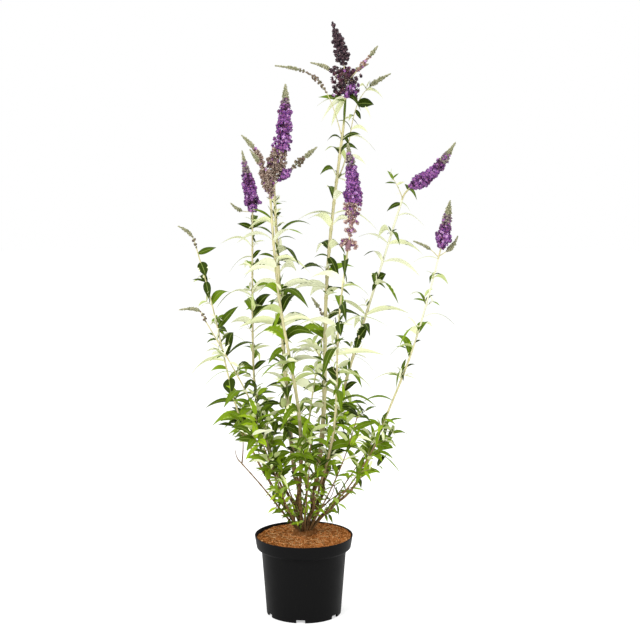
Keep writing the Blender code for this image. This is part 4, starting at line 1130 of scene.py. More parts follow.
def twig_in(axil, length, leaf_length, rng):
    """A twig out of an axil, start + length (out t + up t^2 / 4), as a small leafy stem."""
    heading = axil.line.direction(axil.distance)
    azimuth = axil.azimuth + rng.uniform(-0.35, 0.35)
    rise = math.radians(rng.uniform(30, 55))
    out = math.cos(rise) * heading + math.sin(rise) * outward(heading, azimuth)
    t = np.linspace(0, 1, 6)[:, None]
    points = axil.line.at(axil.distance) + length * (out * t + np.array((0, 0, 0.25)) * t ** 2)
    lengths = ((0, 1), (0.9 * leaf_length, leaf_length))
    leaves = Leaves(TWIG_SPACING, lengths, 1, rng.uniform(0, 90), rng.randrange(9999))
    return Stem(None, Line(points), (0.003, 0), TWIG_GIRTHS, leaves)


def twig_leaves(twig):
    """The leaves of a twig, which spread wider and droop less than a cane's."""
    for distance, azimuth, length, rise, droop, roll in pairs_along(twig):
        yield ruled_leaf(twig, distance, azimuth, length, rise + TWIG_SPREAD, TWIG_DROOP * droop, roll)


twigs = Skin()
for shoot in SHOOTS:
    line = smooth_line((*from_stool(shoot.foot), shoot.via, shoot.tip))
    leaves = Leaves(SHOOT_SPACING, SHOOT_LEAVES, 1, shoot.turn, shoot.seed)
    stem = Stem("shoot_" + shoot.name, line.part(0, line.length, 8), SHOOT_BARE, shoot.girths, leaves)
    stems.append(stem)
    joints = sorted({pair[0] for pair in pairs_along(stem)})
    full = [SHOOT_FULLNESS.get(shoot.name, 1) * girth for girth in shoot.girths]
    grow_cane(twigs, line, full, joints, -0.5 + 0.55 * line.along / line.length, sides=8)
for points, girths in DRY_TWIGS:
    grow_cane(twigs, smooth_line(points, 60), girths, age=-0.5, sides=6)

rng = random.Random(5)
large_leaves, small_leaves, axils = [], [], []
for stem in stems:
    found, bearing = dress(stem, rng)
    large_leaves += found
    if not stem.node.startswith("head"):
        axils += bearing
for cane in CANES:
    route = routes[cane.name]
    knee = route.at_height(cane.knee)
    for share in TUFT_SHARES:
        azimuth = rng.uniform(0, math.tau)
        both = [Axil(route, (share + rng.uniform(-0.06, 0.06)) * knee, azimuth + turn) for turn in (0, math.pi)]
        for axil in both[:rng.choice((0, 1, 2))]:
            length, leaf_length = (typical * rng.uniform(0.6, 1.3) for typical in (TUFT_LENGTH, TUFT_LEAVES))
            twig = twig_in(axil, length, leaf_length, rng)
            grow_cane(twigs, twig.line, TWIG_GIRTHS, age=0.2, sides=5)
            small_leaves += twig_leaves(twig)
for axil in axils:
    height = axil.line.at(axil.distance)[2]
    chance, length, leaf_length = (float(np.interp(height, TWIG_HEIGHTS, values))
                                   for values in (TWIG_CHANCES, TWIG_LENGTHS, TWIG_LEAVES))
    if rng.random() > chance:
        continue
    twig = twig_in(axil, length * rng.uniform(0.7, 1.3), leaf_length * rng.uniform(0.8, 1.2), rng)
    grow_cane(twigs, twig.line, TWIG_GIRTHS, age=0.15 + 1.2 * max(0, height - 0.4), sides=5)
    felted = np.interp(height, FELT_HEIGHTS, SMALL_FELT_CHANCES)
    small_leaves += [turn_felt(leaf, felted, rng) for leaf in twig_leaves(twig)]
sprig_stem = Stem("sprig", sprig, (0.004, 0), SIDE_STALK_GIRTHS, SPRIG_LEAVES)
small_leaves += twig_leaves(sprig_stem)
shoot_nodes = ["shoot_" + shoot.name for shoot in SHOOTS]
twigs.piece("shoots_and_twigs", [pale], "foliage", shoot_nodes, 60)


# The leaves are lance-shaped and soft: dark green above with a sunk midrib, felted nearly white
# below, arching over and a little folded. Those low on the bush are broader, fresher and greener.
LEAF_THICKNESS = 0.00035
LEAF_GREENS = (
    (0.0190, 0.034, 0.0004), (0.0390, 0.067, 0.0010), (0.0800, 0.132, 0.0024),
    (0.1340, 0.212, 0.0045), (0.2100, 0.310, 0.0080), (0.3300, 0.430, 0.0250),
)
LEAF_FELTS = ((0.76, 0.780, 0.545), (0.68, 0.710, 0.430), (0.47, 0.535, 0.225), (0.250, 0.350, 0.060))
MIDRIB_GREEN = (0.13, 0.175, 0.030)
FELT = len(LEAF_GREENS)
MIDRIB = FELT + len(LEAF_FELTS)

# The chance that a leaf has fresh colours, by its height on the bush.
FRESH_HEIGHTS = (0.34, 0.44, 0.58, 0.85)
FRESH_CHANCES = (1.0, 0.80, 0.40, 0.05)

# A ring of a blade goes round nine points: their places from midrib to margin, and which face they
# are on, 1 the upper and -1 the under one. The first faces are upper ones, one of them the midrib's.
RING_PLACES = np.array([1, 0.5, 0.07, -0.07, -0.5, -1, -0.5, 0, 0.5])
RING_FACES = np.array([0, 1, 1, 1, 1, 0, -1, -1.9, -1])
UPPER_FACES = 5
MIDRIB_FACE = 2
LEAF_WAIST = 0.40
LEAF_WAVE = 0.03
LARGE_STATIONS = (0, 0.05, 0.13, 0.24, 0.36, 0.48, 0.60, 0.71, 0.82, 0.92, 1)
SMALL_STATIONS = (0, 0.14, 0.34, 0.56, 0.78, 1)

# A leaf's breadth in shares of its length, by its height on the bush.
BREADTH_HEIGHTS = (0.25, 0.46, 0.62, 1.2)
LEAF_BREADTHS = (0.34, 0.28, 0.225, 0.205)

# The leaves to the right are narrower: places across the bush, and shares of the breadth there.
NARROW_PLACES = (0.02, 0.09)
NARROW_SHARES = (1, 0.78)

# Single leaves that stand out in the photo, by stem: the height of the root, the tip's three
# coordinates, the height in mm of its bow over the straight line between them, how far its top (or,
# below 0, its felt) turns to the front in degrees, its breadth, and its upper and felted colours.
MARKED_LEAVES = {
    "cane_left": (
        (0.894, -0.16, 0.136, 0.907, 2, 50, 0.36, 0, 1), (0.897, -0.082, 0.126, 0.916, 2, 55, 0.36, 0, 1),
        (0.872, -0.111, 0.124, 0.893, 0, 60, 0.5, 0, 1), (0.828, -0.18, 0.119, 0.791, 14, -28, 0.19, 0, 0),
        (0.825, -0.1, 0.119, 0.846, 4, 60, 0.36, 0, 1), (0.733, -0.212, 0.109, 0.704, 30, -28, 0.17, 1, 0),
        (0.683, -0.077, 0.103, 0.743, 13, 60, 0.23, 0, 1), (0.683, -0.076, 0.118, 0.717, 7, 45, 0.17, 1, 1),
        (0.674, -0.08, 0.102, 0.679, 2, 50, 0.28, 0, 1), (0.674, -0.177, 0.097, 0.674, 9, -60, 0.26, 1, 0),
        (0.561, -0.163, 0.087, 0.561, 7, 40, 0.2, 3, 2), (0.564, -0.151, 0.077, 0.575, 5, 40, 0.22, 2, 2),
        (0.564, -0.087, 0.077, 0.589, 2, 55, 0.34, 0, 1), (0.608, -0.073, 0.099, 0.619, 5, -45, 0.2, 1, 1),
        (0.505, -0.061, 0.067, 0.512, 5, 30, 0.18, 1, 1), (0.455, -0.059, 0.057, 0.496, 4, 55, 0.3, 1, 1),
    ),
    "cane_left_middle": (
        (0.901, -0.107, -0.12, 0.92, 7, 25, 0.17, 1, 0), (0.936, -0.118, -0.125, 0.96, 5, 35, 0.16, 2, 1),
        (0.946, -0.078, -0.13, 0.971, 0, 60, 0.3, 0, 1), (0.847, 0.02, -0.114, 0.815, 16, -50, 0.17, 1, 1),
        (0.85, -0.099, -0.129, 0.859, 5, 35, 0.2, 1, 1), (0.704, 0.031, -0.113, 0.707, 10, -50, 0.17, 1, 1),
        (0.625, -0.021, -0.127, 0.587, 2, 30, 0.46, 2, 1), (0.638, 0.018, -0.113, 0.631, 10, -35, 0.18, 0, 2),
        (0.569, 0.036, -0.101, 0.588, 7, -40, 0.22, 1, 2),
    ),
    "cane_centre_left": (
        (0.935, -0.047, -0.077, 0.95, 2, 60, 0.42, 0, 1), (0.892, 0.018, -0.075, 0.923, 18, 20, 0.15, 1, 0),
        (0.885, -0.014, -0.08, 0.889, 8, 12, 0.15, 1, 1), (0.782, -0.043, -0.075, 0.815, 0, 60, 0.28, 2, 1),
        (0.769, -0.032, -0.075, 0.784, 1, 60, 0.45, 0, 1), (0.769, 0.043, -0.055, 0.777, 19, -55, 0.17, 1, 0),
        (0.726, -0.07, -0.084, 0.667, 9, 40, 0.22, 3, 2), (0.639, -0.082, -0.081, 0.605, 7, 50, 0.36, 2, 1),
        (0.56, -0.105, -0.063, 0.579, 12, -38, 0.18, 1, 0), (0.556, -0.091, -0.073, 0.549, 7, 20, 0.16, 0, 1),
        (0.493, -0.078, -0.079, 0.467, 12, 45, 0.2, 3, 2), (0.47, 0.024, -0.077, 0.468, 5, 50, 0.36, 3, 2),
        (0.709, -0.073, -0.078, 0.682, 2, 40, 0.46, 1, 1),
    ),
    "cane_centre": (
        (0.934, -0.022, 0.04, 0.918, 13, -22, 0.18, 1, 0), (0.763, -0.05, 0.026, 0.741, 22, -45, 0.21, 1, 0),
        (0.837, 0.083, 0.013, 0.784, 7, 20, 0.44, 0, 1), (0.837, 0.022, 0.038, 0.837, 7, 25, 0.2, 1, 1),
        (0.763, 0.073, 0.031, 0.766, 2, 50, 0.36, 0, 1), (0.665, -0.018, 0.02, 0.66, 12, 40, 0.19, 3, 2),
        (0.934, 0.174, 0.035, 0.898, 23, -18, 0.14, 1, 1), (0.591, 0.007, 0.024, 0.603, 6, 30, 0.18, 1, 1),
        (0.614, -0.025, 0.034, 0.627, 9, -50, 0.15, 1, 1), (1.105, 0.053, 0.04, 1.105, 12, 30, 0.2, 0, 1),
        (1.105, 0.168, 0.045, 1.081, 21, -32, 0.17, 1, 0), (1.105, 0.132, 0.035, 1.12, 7, 45, 0.28, 0, 1),
    ),
    "cane_left_outer": (
        (0.671, -0.149, 0.014, 0.727, 4, 60, 0.26, 1, 1), (0.597, -0.265, 0.005, 0.565, 20, -48, 0.17, 1, 1),
        (0.581, -0.215, -0.013, 0.579, 6, 45, 0.26, 3, 2), (0.558, -0.167, -0.028, 0.523, 2, 30, 0.72, 0, 1),
        (0.512, -0.105, -0.016, 0.528, 7, 22, 0.14, 1, 1), (0.507, -0.23, -0.017, 0.492, 9, 35, 0.18, 1, 1),
        (0.824, -0.225, 0.027, 0.791, 2, 30, 0.66, 0, 1), (0.78, -0.218, 0.021, 0.739, 2, 30, 0.46, 0, 1),
        (0.844, -0.2, 0.039, 0.86, 0, 65, 0.32, 1, 1),
    ),
    "cane_centre_front": (
        (0.715, 0.084, -0.181, 0.684, 2, 30, 0.55, 0, 1), (0.715, 0.075, -0.166, 0.737, -2, 30, 0.3, 1, 1),
        (0.715, 0.094, -0.166, 0.737, 0, 50, 0.36, 1, 1), (0.793, 0.147, -0.188, 0.775, 13, -35, 0.18, 1, 2),
        (0.637, 0.184, -0.157, 0.639, 9, -48, 0.16, 1, 1), (0.586, 0.051, -0.15, 0.608, 0, 70, 0.8, 0, 1),
        (0.517, 0.13, -0.128, 0.543, 7, 30, 0.14, 1, 1),
    ),
    "cane_right_back": (
        (0.955, 0.193, 0.11, 0.937, 5, 60, 0.36, 0, 1), (0.958, 0.252, 0.11, 0.936, 5, -40, 0.22, 1, 2),
        (0.86, 0.125, 0.108, 0.877, 15, -22, 0.16, 1, 0), (0.86, 0.283, 0.108, 0.835, 16, -50, 0.16, 1, 1),
        (0.776, 0.195, 0.1, 0.792, 0, 70, 0.75, 0, 1), (0.773, 0.171, 0.1, 0.792, 0, 70, 0.6, 0, 1),
        (0.766, 0.16, 0.099, 0.749, 2, 50, 0.5, 0, 1), (0.691, 0.062, 0.1, 0.727, 15, -28, 0.15, 1, 1),
        (0.691, 0.253, 0.1, 0.696, 14, -45, 0.16, 1, 1), (0.635, 0.152, 0.09, 0.671, 0, 75, 0.62, 0, 1),
        (0.638, 0.121, 0.08, 0.609, 2, 40, 0.58, 0, 1), (0.594, 0.17, 0.09, 0.556, 9, -15, 0.12, 1, 2),
        (0.579, 0.069, 0.078, 0.564, 5, -60, 0.38, 1, 1), (0.513, 0.086, 0.074, 0.544, 0, 60, 0.56, 0, 1),
        (0.513, 0.128, 0.074, 0.538, 4, 50, 0.32, 0, 1),
    ),
    "cane_right": (
        (0.849, 0.239, -0.13, 0.841, 9, -15, 0.14, 1, 1), (0.714, 0.342, -0.114, 0.699, 18, -15, 0.13, 1, 0),
        (0.648, 0.191, -0.105, 0.629, 14, -35, 0.2, 1, 2), (0.659, 0.265, -0.106, 0.666, 1, 40, 0.34, 0, 1),
        (0.58, 0.141, -0.093, 0.558, 16, -30, 0.13, 1, 1), (0.58, 0.264, -0.093, 0.569, 4, -30, 0.22, 1, 1),
        (0.521, 0.129, -0.083, 0.518, 12, 15, 0.13, 2, 2), (0.465, 0.206, -0.074, 0.444, 4, -60, 0.55, 1, 2),
    ),
    "cane_left_front": (
        (0.633, -0.103, -0.144, 0.664, 14, 18, 0.17, 0, 1), (0.555, -0.112, -0.124, 0.581, 2, 55, 0.38, 0, 1),
        (0.516, -0.162, -0.114, 0.528, 7, 35, 0.22, 2, 2), (0.483, -0.161, -0.115, 0.451, 7, 50, 0.26, 2, 1),
        (0.461, -0.128, -0.12, 0.447, 5, 60, 0.5, 2, 2),
    ),
    "shoot_low_left_back": (
        (0.455, -0.155, 0.013, 0.465, 4, 50, 0.38, 0, 1),
    ),
    "shoot_low_right_front": (
        (0.493, 0.094, -0.114, 0.525, 0, 40, 0.26, 0, 1), (0.493, 0.084, -0.119, 0.514, 2, 40, 0.26, 0, 1),
        (0.493, 0.13, -0.114, 0.521, 4, 40, 0.26, 0, 1), (0.493, 0.132, -0.124, 0.508, 2, -40, 0.22, 1, 2),
        (0.458, 0.17, -0.108, 0.478, 4, 45, 0.26, 2, 2),
    ),
    "shoot_low_back_right": (
        (0.441, 0.153, 0.142, 0.435, 4, 45, 0.24, 1, 1),
    ),
    "shoot_low_right_outer": (
        (0.419, 0.205, -0.092, 0.415, 2, 70, 0.6, 2, 2),
    ),
    "head_centre": (
        (1.202, 0.04, 0.043, 1.147, 12, -50, 0.34, 1, 0), (1.199, 0.092, 0.038, 1.133, 7, -55, 0.4, 1, 0),
        (1.196, 0.028, 0.053, 1.181, 12, -25, 0.16, 1, 1), (1.202, 0.063, 0.068, 1.135, 9, -45, 0.3, 1, 1),
        (1.203, 0.132, 0.038, 1.171, 14, 45, 0.34, 0, 1), (1.195, 0.033, 0.053, 1.203, 2, 40, 0.3, 2, 2),
    ),
    "shoot_top_right": (
        (1.187, 0.164, 0.101, 1.186, 2, 65, 0.7, 0, 1), (1.174, 0.133, 0.095, 1.151, 0, 40, 0.34, 0, 1),
    ),
    "sprig": (
        (1.012, 0.194, 0.088, 1.034, 1, 50, 0.42, 3, 1), (1.016, 0.222, 0.088, 1.028, 0, 50, 0.36, 2, 1),
        (1.004, 0.188, 0.088, 1.005, 1, 30, 0.24, 1, 1), (1, 0.236, 0.088, 1.008, 1, -40, 0.34, 3, 1),
        (1.024, 0.205, 0.088, 1.04, 0, 50, 0.4, 4, 2),
    ),
}

# How freely these arch and twist, and how near, its root and tip together, a leaf of the rule has to
# be to give way to one.
MARKED_SPRING = 0.2
MARK_REACH = 0.080


def outline(t):
    """A lance-shaped leaf's half-breadth along it, t^(2w) (1 - t)^(2 - 2w), scaled to 1 at the waist w."""
    before, after = 2 * LEAF_WAIST, 2 - 2 * LEAF_WAIST
    return t ** before * (1 - t) ** after / (LEAF_WAIST ** before * (1 - LEAF_WAIST) ** after)


def turn_about(first, second, angle):
    """Two perpendicular directions turned in their own plane."""
    cos, sin = np.cos(angle)[..., None], np.sin(angle)[..., None]
    return cos * first + sin * second, cos * second - sin * first


def lay_leaves(skin, leaves, breadths, upper, felt, stations, seed):
    """Blades for many leaves at once.

    The midrib runs root + length (out t - up droop t^2 + lofty arch sin(pi t)), where lofty is up
    made square to out. Each ring goes from the right margin over the upper face to the left margin and
    back under it. s is the share of the way from midrib to margin: the blade folds up by |s|, curls
    down by s^2 and waves a little.
    """
    rng = np.random.default_rng(seed)
    many = len(leaves)
    root, out, length, droop, side, spring = (np.array(values)[:, None] for values in zip(*leaves))
    up = np.array((0.0, 0.0, 1.0))
    lofty = up - out * out[..., 2:]
    lofty /= np.maximum(np.linalg.norm(lofty, axis=-1, keepdims=True), 0.05)
    arch = spring * rng.uniform(0.05, 0.15, (many, 1))
    t = np.array(stations)[None, :]
    rise, fall, bow = length * t, length * droop * t ** 2, length * arch * np.sin(math.pi * t)
    spine = root + rise[..., None] * out - fall[..., None] * up + bow[..., None] * lofty
    climb = math.pi * arch * np.cos(math.pi * t)
    along = unit(out - (2 * droop * t)[..., None] * up + climb[..., None] * lofty)
    across = unit(side - along * (side * along).sum(axis=-1, keepdims=True))
    across, over = turn_about(across, np.cross(along, across), spring * rng.uniform(-0.45, 0.45, (many, 1)) * t)
    width = 0.5 * np.asarray(breadths)[:, None] * rng.uniform(0.88, 1.12, (many, 1)) * length * outline(t)
    width = width[..., None]
    s = RING_PLACES
    reaches = ((0.10, 0.42), (0.06, 0.26), (0, math.tau))
    fold, curl, phase = (rng.uniform(*reach, (many, 1, 1)) for reach in reaches)
    wave = LEAF_WAVE * np.sin(math.tau * 1.3 * t[..., None] + phase + 1.2 * s)
    thick = LEAF_THICKNESS * np.minimum(1, length / 0.06)[..., None]
    lift = width * (fold * np.abs(s) - curl * s ** 2 + wave * s ** 2) + 0.5 * thick * RING_FACES
    sideways, upwards = across[..., None, :] * (width * s)[..., None], over[..., None, :] * lift[..., None]
    numbers = skin.points((spine[..., None, :] + sideways + upwards)[:, 1:-1])
    finish = np.where(np.arange(len(s)) < UPPER_FACES, np.asarray(upper)[:, None], np.asarray(felt)[:, None])
    finish[:, MIDRIB_FACE] = MIDRIB
    skin.cover(numbers, skin.points(spine[:, (0, -1)]), finish)


def leaf_breadth(leaf):
    """The breadth of a leaf of the rule, in shares of its length."""
    across, _, height = leaf.root
    narrowed = np.interp(across, NARROW_PLACES, NARROW_SHARES)
    return float(np.interp(height, BREADTH_HEIGHTS, LEAF_BREADTHS) * narrowed)


def leaf_colours(leaf, rng, brightest):
    """The upper and under colours of a leaf: dark and white high on the bush, fresh green low down.

    brightest is the last of the greens that the upper side of a fresh leaf may have.
    """
    height = leaf.root[2]
    if rng.random() < np.interp(height, FRESH_HEIGHTS, FRESH_CHANCES):
        upper = rng.choice((1, 2, 3, 3, 4, 5) if height < 0.33 else (0, 1, 2, 2, 3, 3, 4))
        under = (3, 3, 2) if height < 0.35 else (3, 2, 2, 1) if height < 0.50 else (0, 1, 2)
        return min(upper, brightest), FELT + rng.choice(under)
    upper = rng.choice((0, 1, 1, 2, 2) if height < 0.80 else (0, 0, 1, 1, 2))
    return upper, FELT + rng.choice((0, 0, 1, 1, 2))


def marked_leaf(stem, height, across, deep, high, bow, face):
    """A leaf from a height on its stem to a tip, bowed up between them, its face turned to the front."""
    distance = stem.line.at_height(height)
    way = np.array((across, deep, high)) - stem.line.at(distance) + (0, 0, 0.004 * bow)
    length = float(np.linalg.norm(way))
    roll = math.copysign(math.radians(face), face * way[0])
    return make_leaf(stem, distance, way / length, length, 0.004 * bow / length, roll, MARKED_SPRING)


def add_marked(blades):
    """Puts each marked leaf in the place of the nearest leaf of the rule, or adds it if none is near.

    A blade is its leaf, its breadth and its two colours. A leaf that has given way isn't met again.
    """
    ends = np.array([[leaf.root, tip_of(leaf)] for leaf, *_ in blades])
    by_node = {stem.node: stem for stem in (*stems, sprig_stem)}
    for node, marks in MARKED_LEAVES.items():
        for *shape, breadth, upper, felt in marks:
            leaf = marked_leaf(by_node[node], *shape)
            blade = (leaf, breadth, upper, FELT + felt)
            away = np.linalg.norm(ends - (leaf.root, shape[1:4]), axis=2).sum(axis=1)
            nearest = int(away.argmin())
            if away[nearest] < MARK_REACH:
                ends[nearest] = math.inf
                blades[nearest] = blade
            else:
                blades.append(blade)


leaf_finishes = finishes("leaf_green", LEAF_GREENS, 0.55, 0.06) + finishes("leaf_felt", LEAF_FELTS, 0.90, 0.05)
leaf_finishes.append(Finish("leaf_midrib", MIDRIB_GREEN, 0.60, Specular_IOR_Level=0.12))
leaf_nodes = [*cane_nodes, *shoot_nodes, "shoot_top_right"]
rng = random.Random(77)
large_blades = [(leaf, leaf_breadth(leaf), *leaf_colours(leaf, rng, 3)) for leaf in large_leaves]
small_blades = [(leaf, leaf_breadth(leaf), *leaf_colours(leaf, rng, 5)) for leaf in small_leaves]
add_marked(large_blades)
large, small = Skin(), Skin()
lay_leaves(large, *zip(*large_blades), LARGE_STATIONS, 5)
large.piece("large_leaves", leaf_finishes, "foliage", leaf_nodes, 62)
lay_leaves(small, *zip(*small_blades), SMALL_STATIONS, 5)
small.piece("small_leaves", leaf_finishes, "foliage", leaf_nodes, 62)


# The blossom stands in long tapering spikes of whorls, each whorl a ring of small clusters. A spike
# opens from its foot up: spent brown, then violet florets with an orange eye, buds, a grey-green tip.
FLORET_RADIUS = 0.0033
LOBE_POINTS = 12
BUD_SIDES = 5
CORE_SIDES = 10
CORE_STEP = 0.0032
GOLDEN_ANGLE = 2.4
MOST_CLUSTERS = 11
GAP_CHANCE = 0.05
FLORET_COLOURS = ((0.222, 0.084, 0.280), (0.126, 0.036, 0.178), (0.058, 0.015, 0.080), (0.405, 0.240, 0.465))
FLORET_EYE = (0.45, 0.15, 0.03)
FLORET_TUBE = (0.12, 0.045, 0.15)
PLUM = ((0.110, 0.034, 0.110), (0.190, 0.100, 0.160), (0.060, 0.022, 0.052))
MAUVE = ((0.170, 0.120, 0.145), (0.270, 0.230, 0.185), (0.330, 0.300, 0.225), (0.105, 0.062, 0.095))
GREY_GREEN = ((0.25, 0.25, 0.145), (0.36, 0.34, 0.225), (0.16, 0.17, 0.090))
BROWN = ((0.19, 0.125, 0.095), (0.31, 0.225, 0.175), (0.46, 0.37, 0.30), (0.095, 0.058, 0.045))
FADED = ((0.40, 0.27, 0.21), (0.26, 0.15, 0.12), (0.58, 0.45, 0.37), (0.22, 0.12, 0.14))
DUSKY = ((0.034, 0.022, 0.030), (0.070, 0.038, 0.050), (0.130, 0.085, 0.090), (0.018, 0.013, 0.017))
MAROON = ((0.085, 0.028, 0.045), (0.150, 0.070, 0.085), (0.035, 0.016, 0.024))

# A kind of blossom: the step from whorl to whorl, a cluster's radius and its count of bells, the
# share of them that are open florets, the length and breadth of the others, how far bells lean to
# the tip, the radius of the core inside in shares of the spike's, and the others' colours.
Kind = namedtuple("Kind", "step cluster bells open length breadth lean core colours")
KINDS = {
    "open": Kind(0.0078, 0.0045, 6, 0.93, 0.0050, 0.0020, 0.15, 0.36, PLUM),
    "violet": Kind(0.0078, 0.0045, 10, 0.45, 0.0050, 0.0021, 0.15, 0.50, PLUM),
    "plum": Kind(0.0064, 0.0035, 9, 0.15, 0.0050, 0.0021, 0.60, 0.55, PLUM),
    "mauve": Kind(0.0062, 0.0029, 9, 0.05, 0.0044, 0.0019, 0.70, 0.48, MAUVE),
    "blush": Kind(0.0084, 0.0029, 9, 0.03, 0.0042, 0.0019, 0.40, 0.15, (FADED[0], FADED[1], BROWN[0])),
    "green": Kind(0.0042, 0.0022, 7, 0.00, 0.0036, 0.0017, 1.00, 0.60, GREY_GREEN),
    "spent": Kind(0.0080, 0.0044, 14, 0.03, 0.0062, 0.0019, 0.30, 0.18, BROWN),
    "faded": Kind(0.0090, 0.0042, 12, 0.04, 0.0062, 0.0018, 0.20, 0.35, FADED),
    "bead": Kind(0.0096, 0.0027, 9, 0.00, 0.0038, 0.0018, 0.40, 0.12, (BROWN[0], GREY_GREEN[2], BROWN[3])),
    "dusky": Kind(0.0110, 0.0048, 15, 0.00, 0.0050, 0.0025, 0.20, 0.30, DUSKY),
    "maroon": Kind(0.0080, 0.0046, 13, 0.03, 0.0062, 0.0022, 0.20, 0.20, MAROON),
}
Floret = namedtuple("Floret", "place axis size colour")
Bud = namedtuple("Bud", "place axis length breadth colour")

# The ragged head: how many short racemes it has, their radii, the shares of each at which clusters
# stand, a cluster's size, and how many dusky bells fill the head's heart.
RAGGED_RACEMES = 34
RAGGED_GIRTHS = (0.0008, 0.0005)
RAGGED_PLACES = (0.42, 0.68, 0.92)
RAGGED_CLUSTER = 0.0068
RAGGED_BELLS = 90

# The pieces part the heads by where their tips are across the bush.
GROUPS = ("left", "middle", "right")
GROUP_BOUNDS = (-0.05, 0.09)


def run_radius(share, breadth, last):
    """The radius of a run's outline: full near its foot, and drawn to a point at its end.

    It falls with share^2.6 in a spike's last run, and with share^6 and a half wave in the others.
    """
    shape = np.clip(share / 0.10, 0.35, 1) ** 0.7 * (1 - share ** (2.6 if last else 6.0)) + 0.10
    if not last:
        shape = shape * np.sin(np.pi * np.clip(share, 0.12, 0.88)) ** 0.5
    return 0.5 * breadth * shape


def grow_cluster(centre, out, heading, radius, kind, rng, florets, buds):
    """Bells spread by the golden angle over the outer side of a ball, each facing out of it."""
    first = unit(np.cross(out, heading) + 1e-6)
    second = np.cross(out, first)
    turn = rng.uniform(0, math.tau)
    tone = rng.choice(3, p=(0.45, 0.37, 0.18))
    for bell in range(kind.bells):
        cos = 1 - 1.35 * (bell + 0.5) / kind.bells
        sin = math.sqrt(1 - cos * cos)
        angle = turn + GOLDEN_ANGLE * bell
        way = cos * out + sin * (math.cos(angle) * first + math.sin(angle) * second)
        axis = unit(way + 0.40 * out + kind.lean * heading + rng.normal(0, 0.15, 3))
        place = centre + way * radius * rng.uniform(0.72, 1.0)
        if rng.random() < kind.open:
            colour = tone if rng.random() < 0.6 else rng.choice(4, p=(0.30, 0.26, 0.14, 0.30))
            florets.append(Floret(place, axis, FLORET_RADIUS * rng.uniform(0.80, 1.20), colour))
        else:
            size = rng.uniform(0.8, 1.2)
            colour = kind.colours[rng.integers(len(kind.colours))]
            middle = place - 0.3 * kind.length * axis
            buds.append(Bud(middle, axis, kind.length * size, kind.breadth * size, colour))


def stage_at(spike, share):
    """The name of the kind of blossom at a share of a spike."""
    return [kind for start, kind in spike.stages if start <= share][-1]


def open_run(line, spike, run, rng, florets, buds):
    """Whorls of clusters up a run: as many clusters in each as its girth has room for.

    Where the core is thin and the run broad, every other cluster has one more inside it.
    """
    start, end, breadth = run
    last = run is spike.runs[-1]
    position = start * line.length
    turn = rng.uniform(0, math.tau)
    while position < end * line.length:
        where = position / line.length
        kind = KINDS[stage_at(spike, min(max(where + rng.normal(0, 0.020), start), end))]
        share = max(0.0, (where - start) / (end - start))
        radius = float(run_radius(share, breadth, last)) * (1 - spike.slim * where) * rng.uniform(0.84, 1.10)
        cluster = min(kind.cluster, 0.60 * radius)
        count = max(2, round(math.tau * (radius - 0.6 * cluster) / (1.8 * cluster)))
        heading = line.direction(position)
        turn += math.pi / count + rng.normal(0, 0.2)
        for k in range(min(count, MOST_CLUSTERS)):
            out = outward(heading, turn + math.tau * k / count + rng.normal(0, 0.12))
            if rng.random() < GAP_CHANCE:
                continue
            size = cluster * rng.uniform(0.78, 1.16)
            height = position + rng.normal(0, 0.16) * kind.step
            centre = line.at(height) + out * (radius - size) * rng.uniform(0.82, 1.14)
            grow_cluster(centre, unit(out + 0.5 * kind.lean * heading), heading, size, kind, rng, florets, buds)
            if kind.core < 0.40 and radius > 2.6 * cluster and k % 2:
                inner = line.at(position + 0.4 * kind.step) + (0.58 if kind.open > 0.5 else 0.42) * radius * out
                inner_kind = KINDS["plum"] if kind is KINDS["open"] else kind
                grow_cluster(inner, unit(out + 0.6 * heading), heading, size, inner_kind, rng, florets, buds)
        position += kind.step * min(1.0, 0.5 + 0.5 * cluster / kind.cluster)


def grow_ragged(line, run, skin, rng, florets, buds):
    """The broken head under the top spike: short withered racemes to all sides, violet at its lower right."""
    start, end, breadth = run
    middle = line.at((start + end) / 2 * line.length)
    heart = KINDS["dusky"]._replace(bells=RAGGED_BELLS)
    front = np.array((0.0, -1.0, 0.0))
    grow_cluster(middle, front, line.direction(line.length / 2), 0.30 * breadth, heart, rng, florets, buds)
    for k in range(RAGGED_RACEMES):
        share = (k + 0.5) / RAGGED_RACEMES
        heading = line.direction((start + share * (end - start)) * line.length)
        way = unit(outward(heading, GOLDEN_ANGLE * k) + (1.5 * share - 0.75) * heading)
        root = line.at((start + (0.2 + 0.6 * share) * (end - start)) * line.length)
        reach = 0.5 * breadth * rng.uniform(0.85, 1.22)
        violet = way[0] > 0.05 and way[2] < 0.10 and k % 4 != 0
        kind = KINDS["violet" if violet else ("maroon" if k % 3 else "dusky")]
        stalk = Line(root + way * np.linspace(0, 0.9 * reach, 5)[:, None])
        grow_cane(skin, stalk, RAGGED_GIRTHS, age=0.2, sides=5)
        for step in RAGGED_PLACES:
            size = RAGGED_CLUSTER * (1.15 - 0.45 * step)
            centre = root + way * reach * step + rng.normal(0, 0.0015, 3)
            grow_cluster(centre, way, heading, size, kind, rng, florets, buds)


def frames_of(axes, rng):
    """Right-handed frames whose third direction is each axis, turned at random about it."""
    right, deep = across_axes(axes)
    first, second = turn_about(right, deep, rng.uniform(0, math.tau, len(axes)))
    return np.stack([first, second, axes], axis=1)


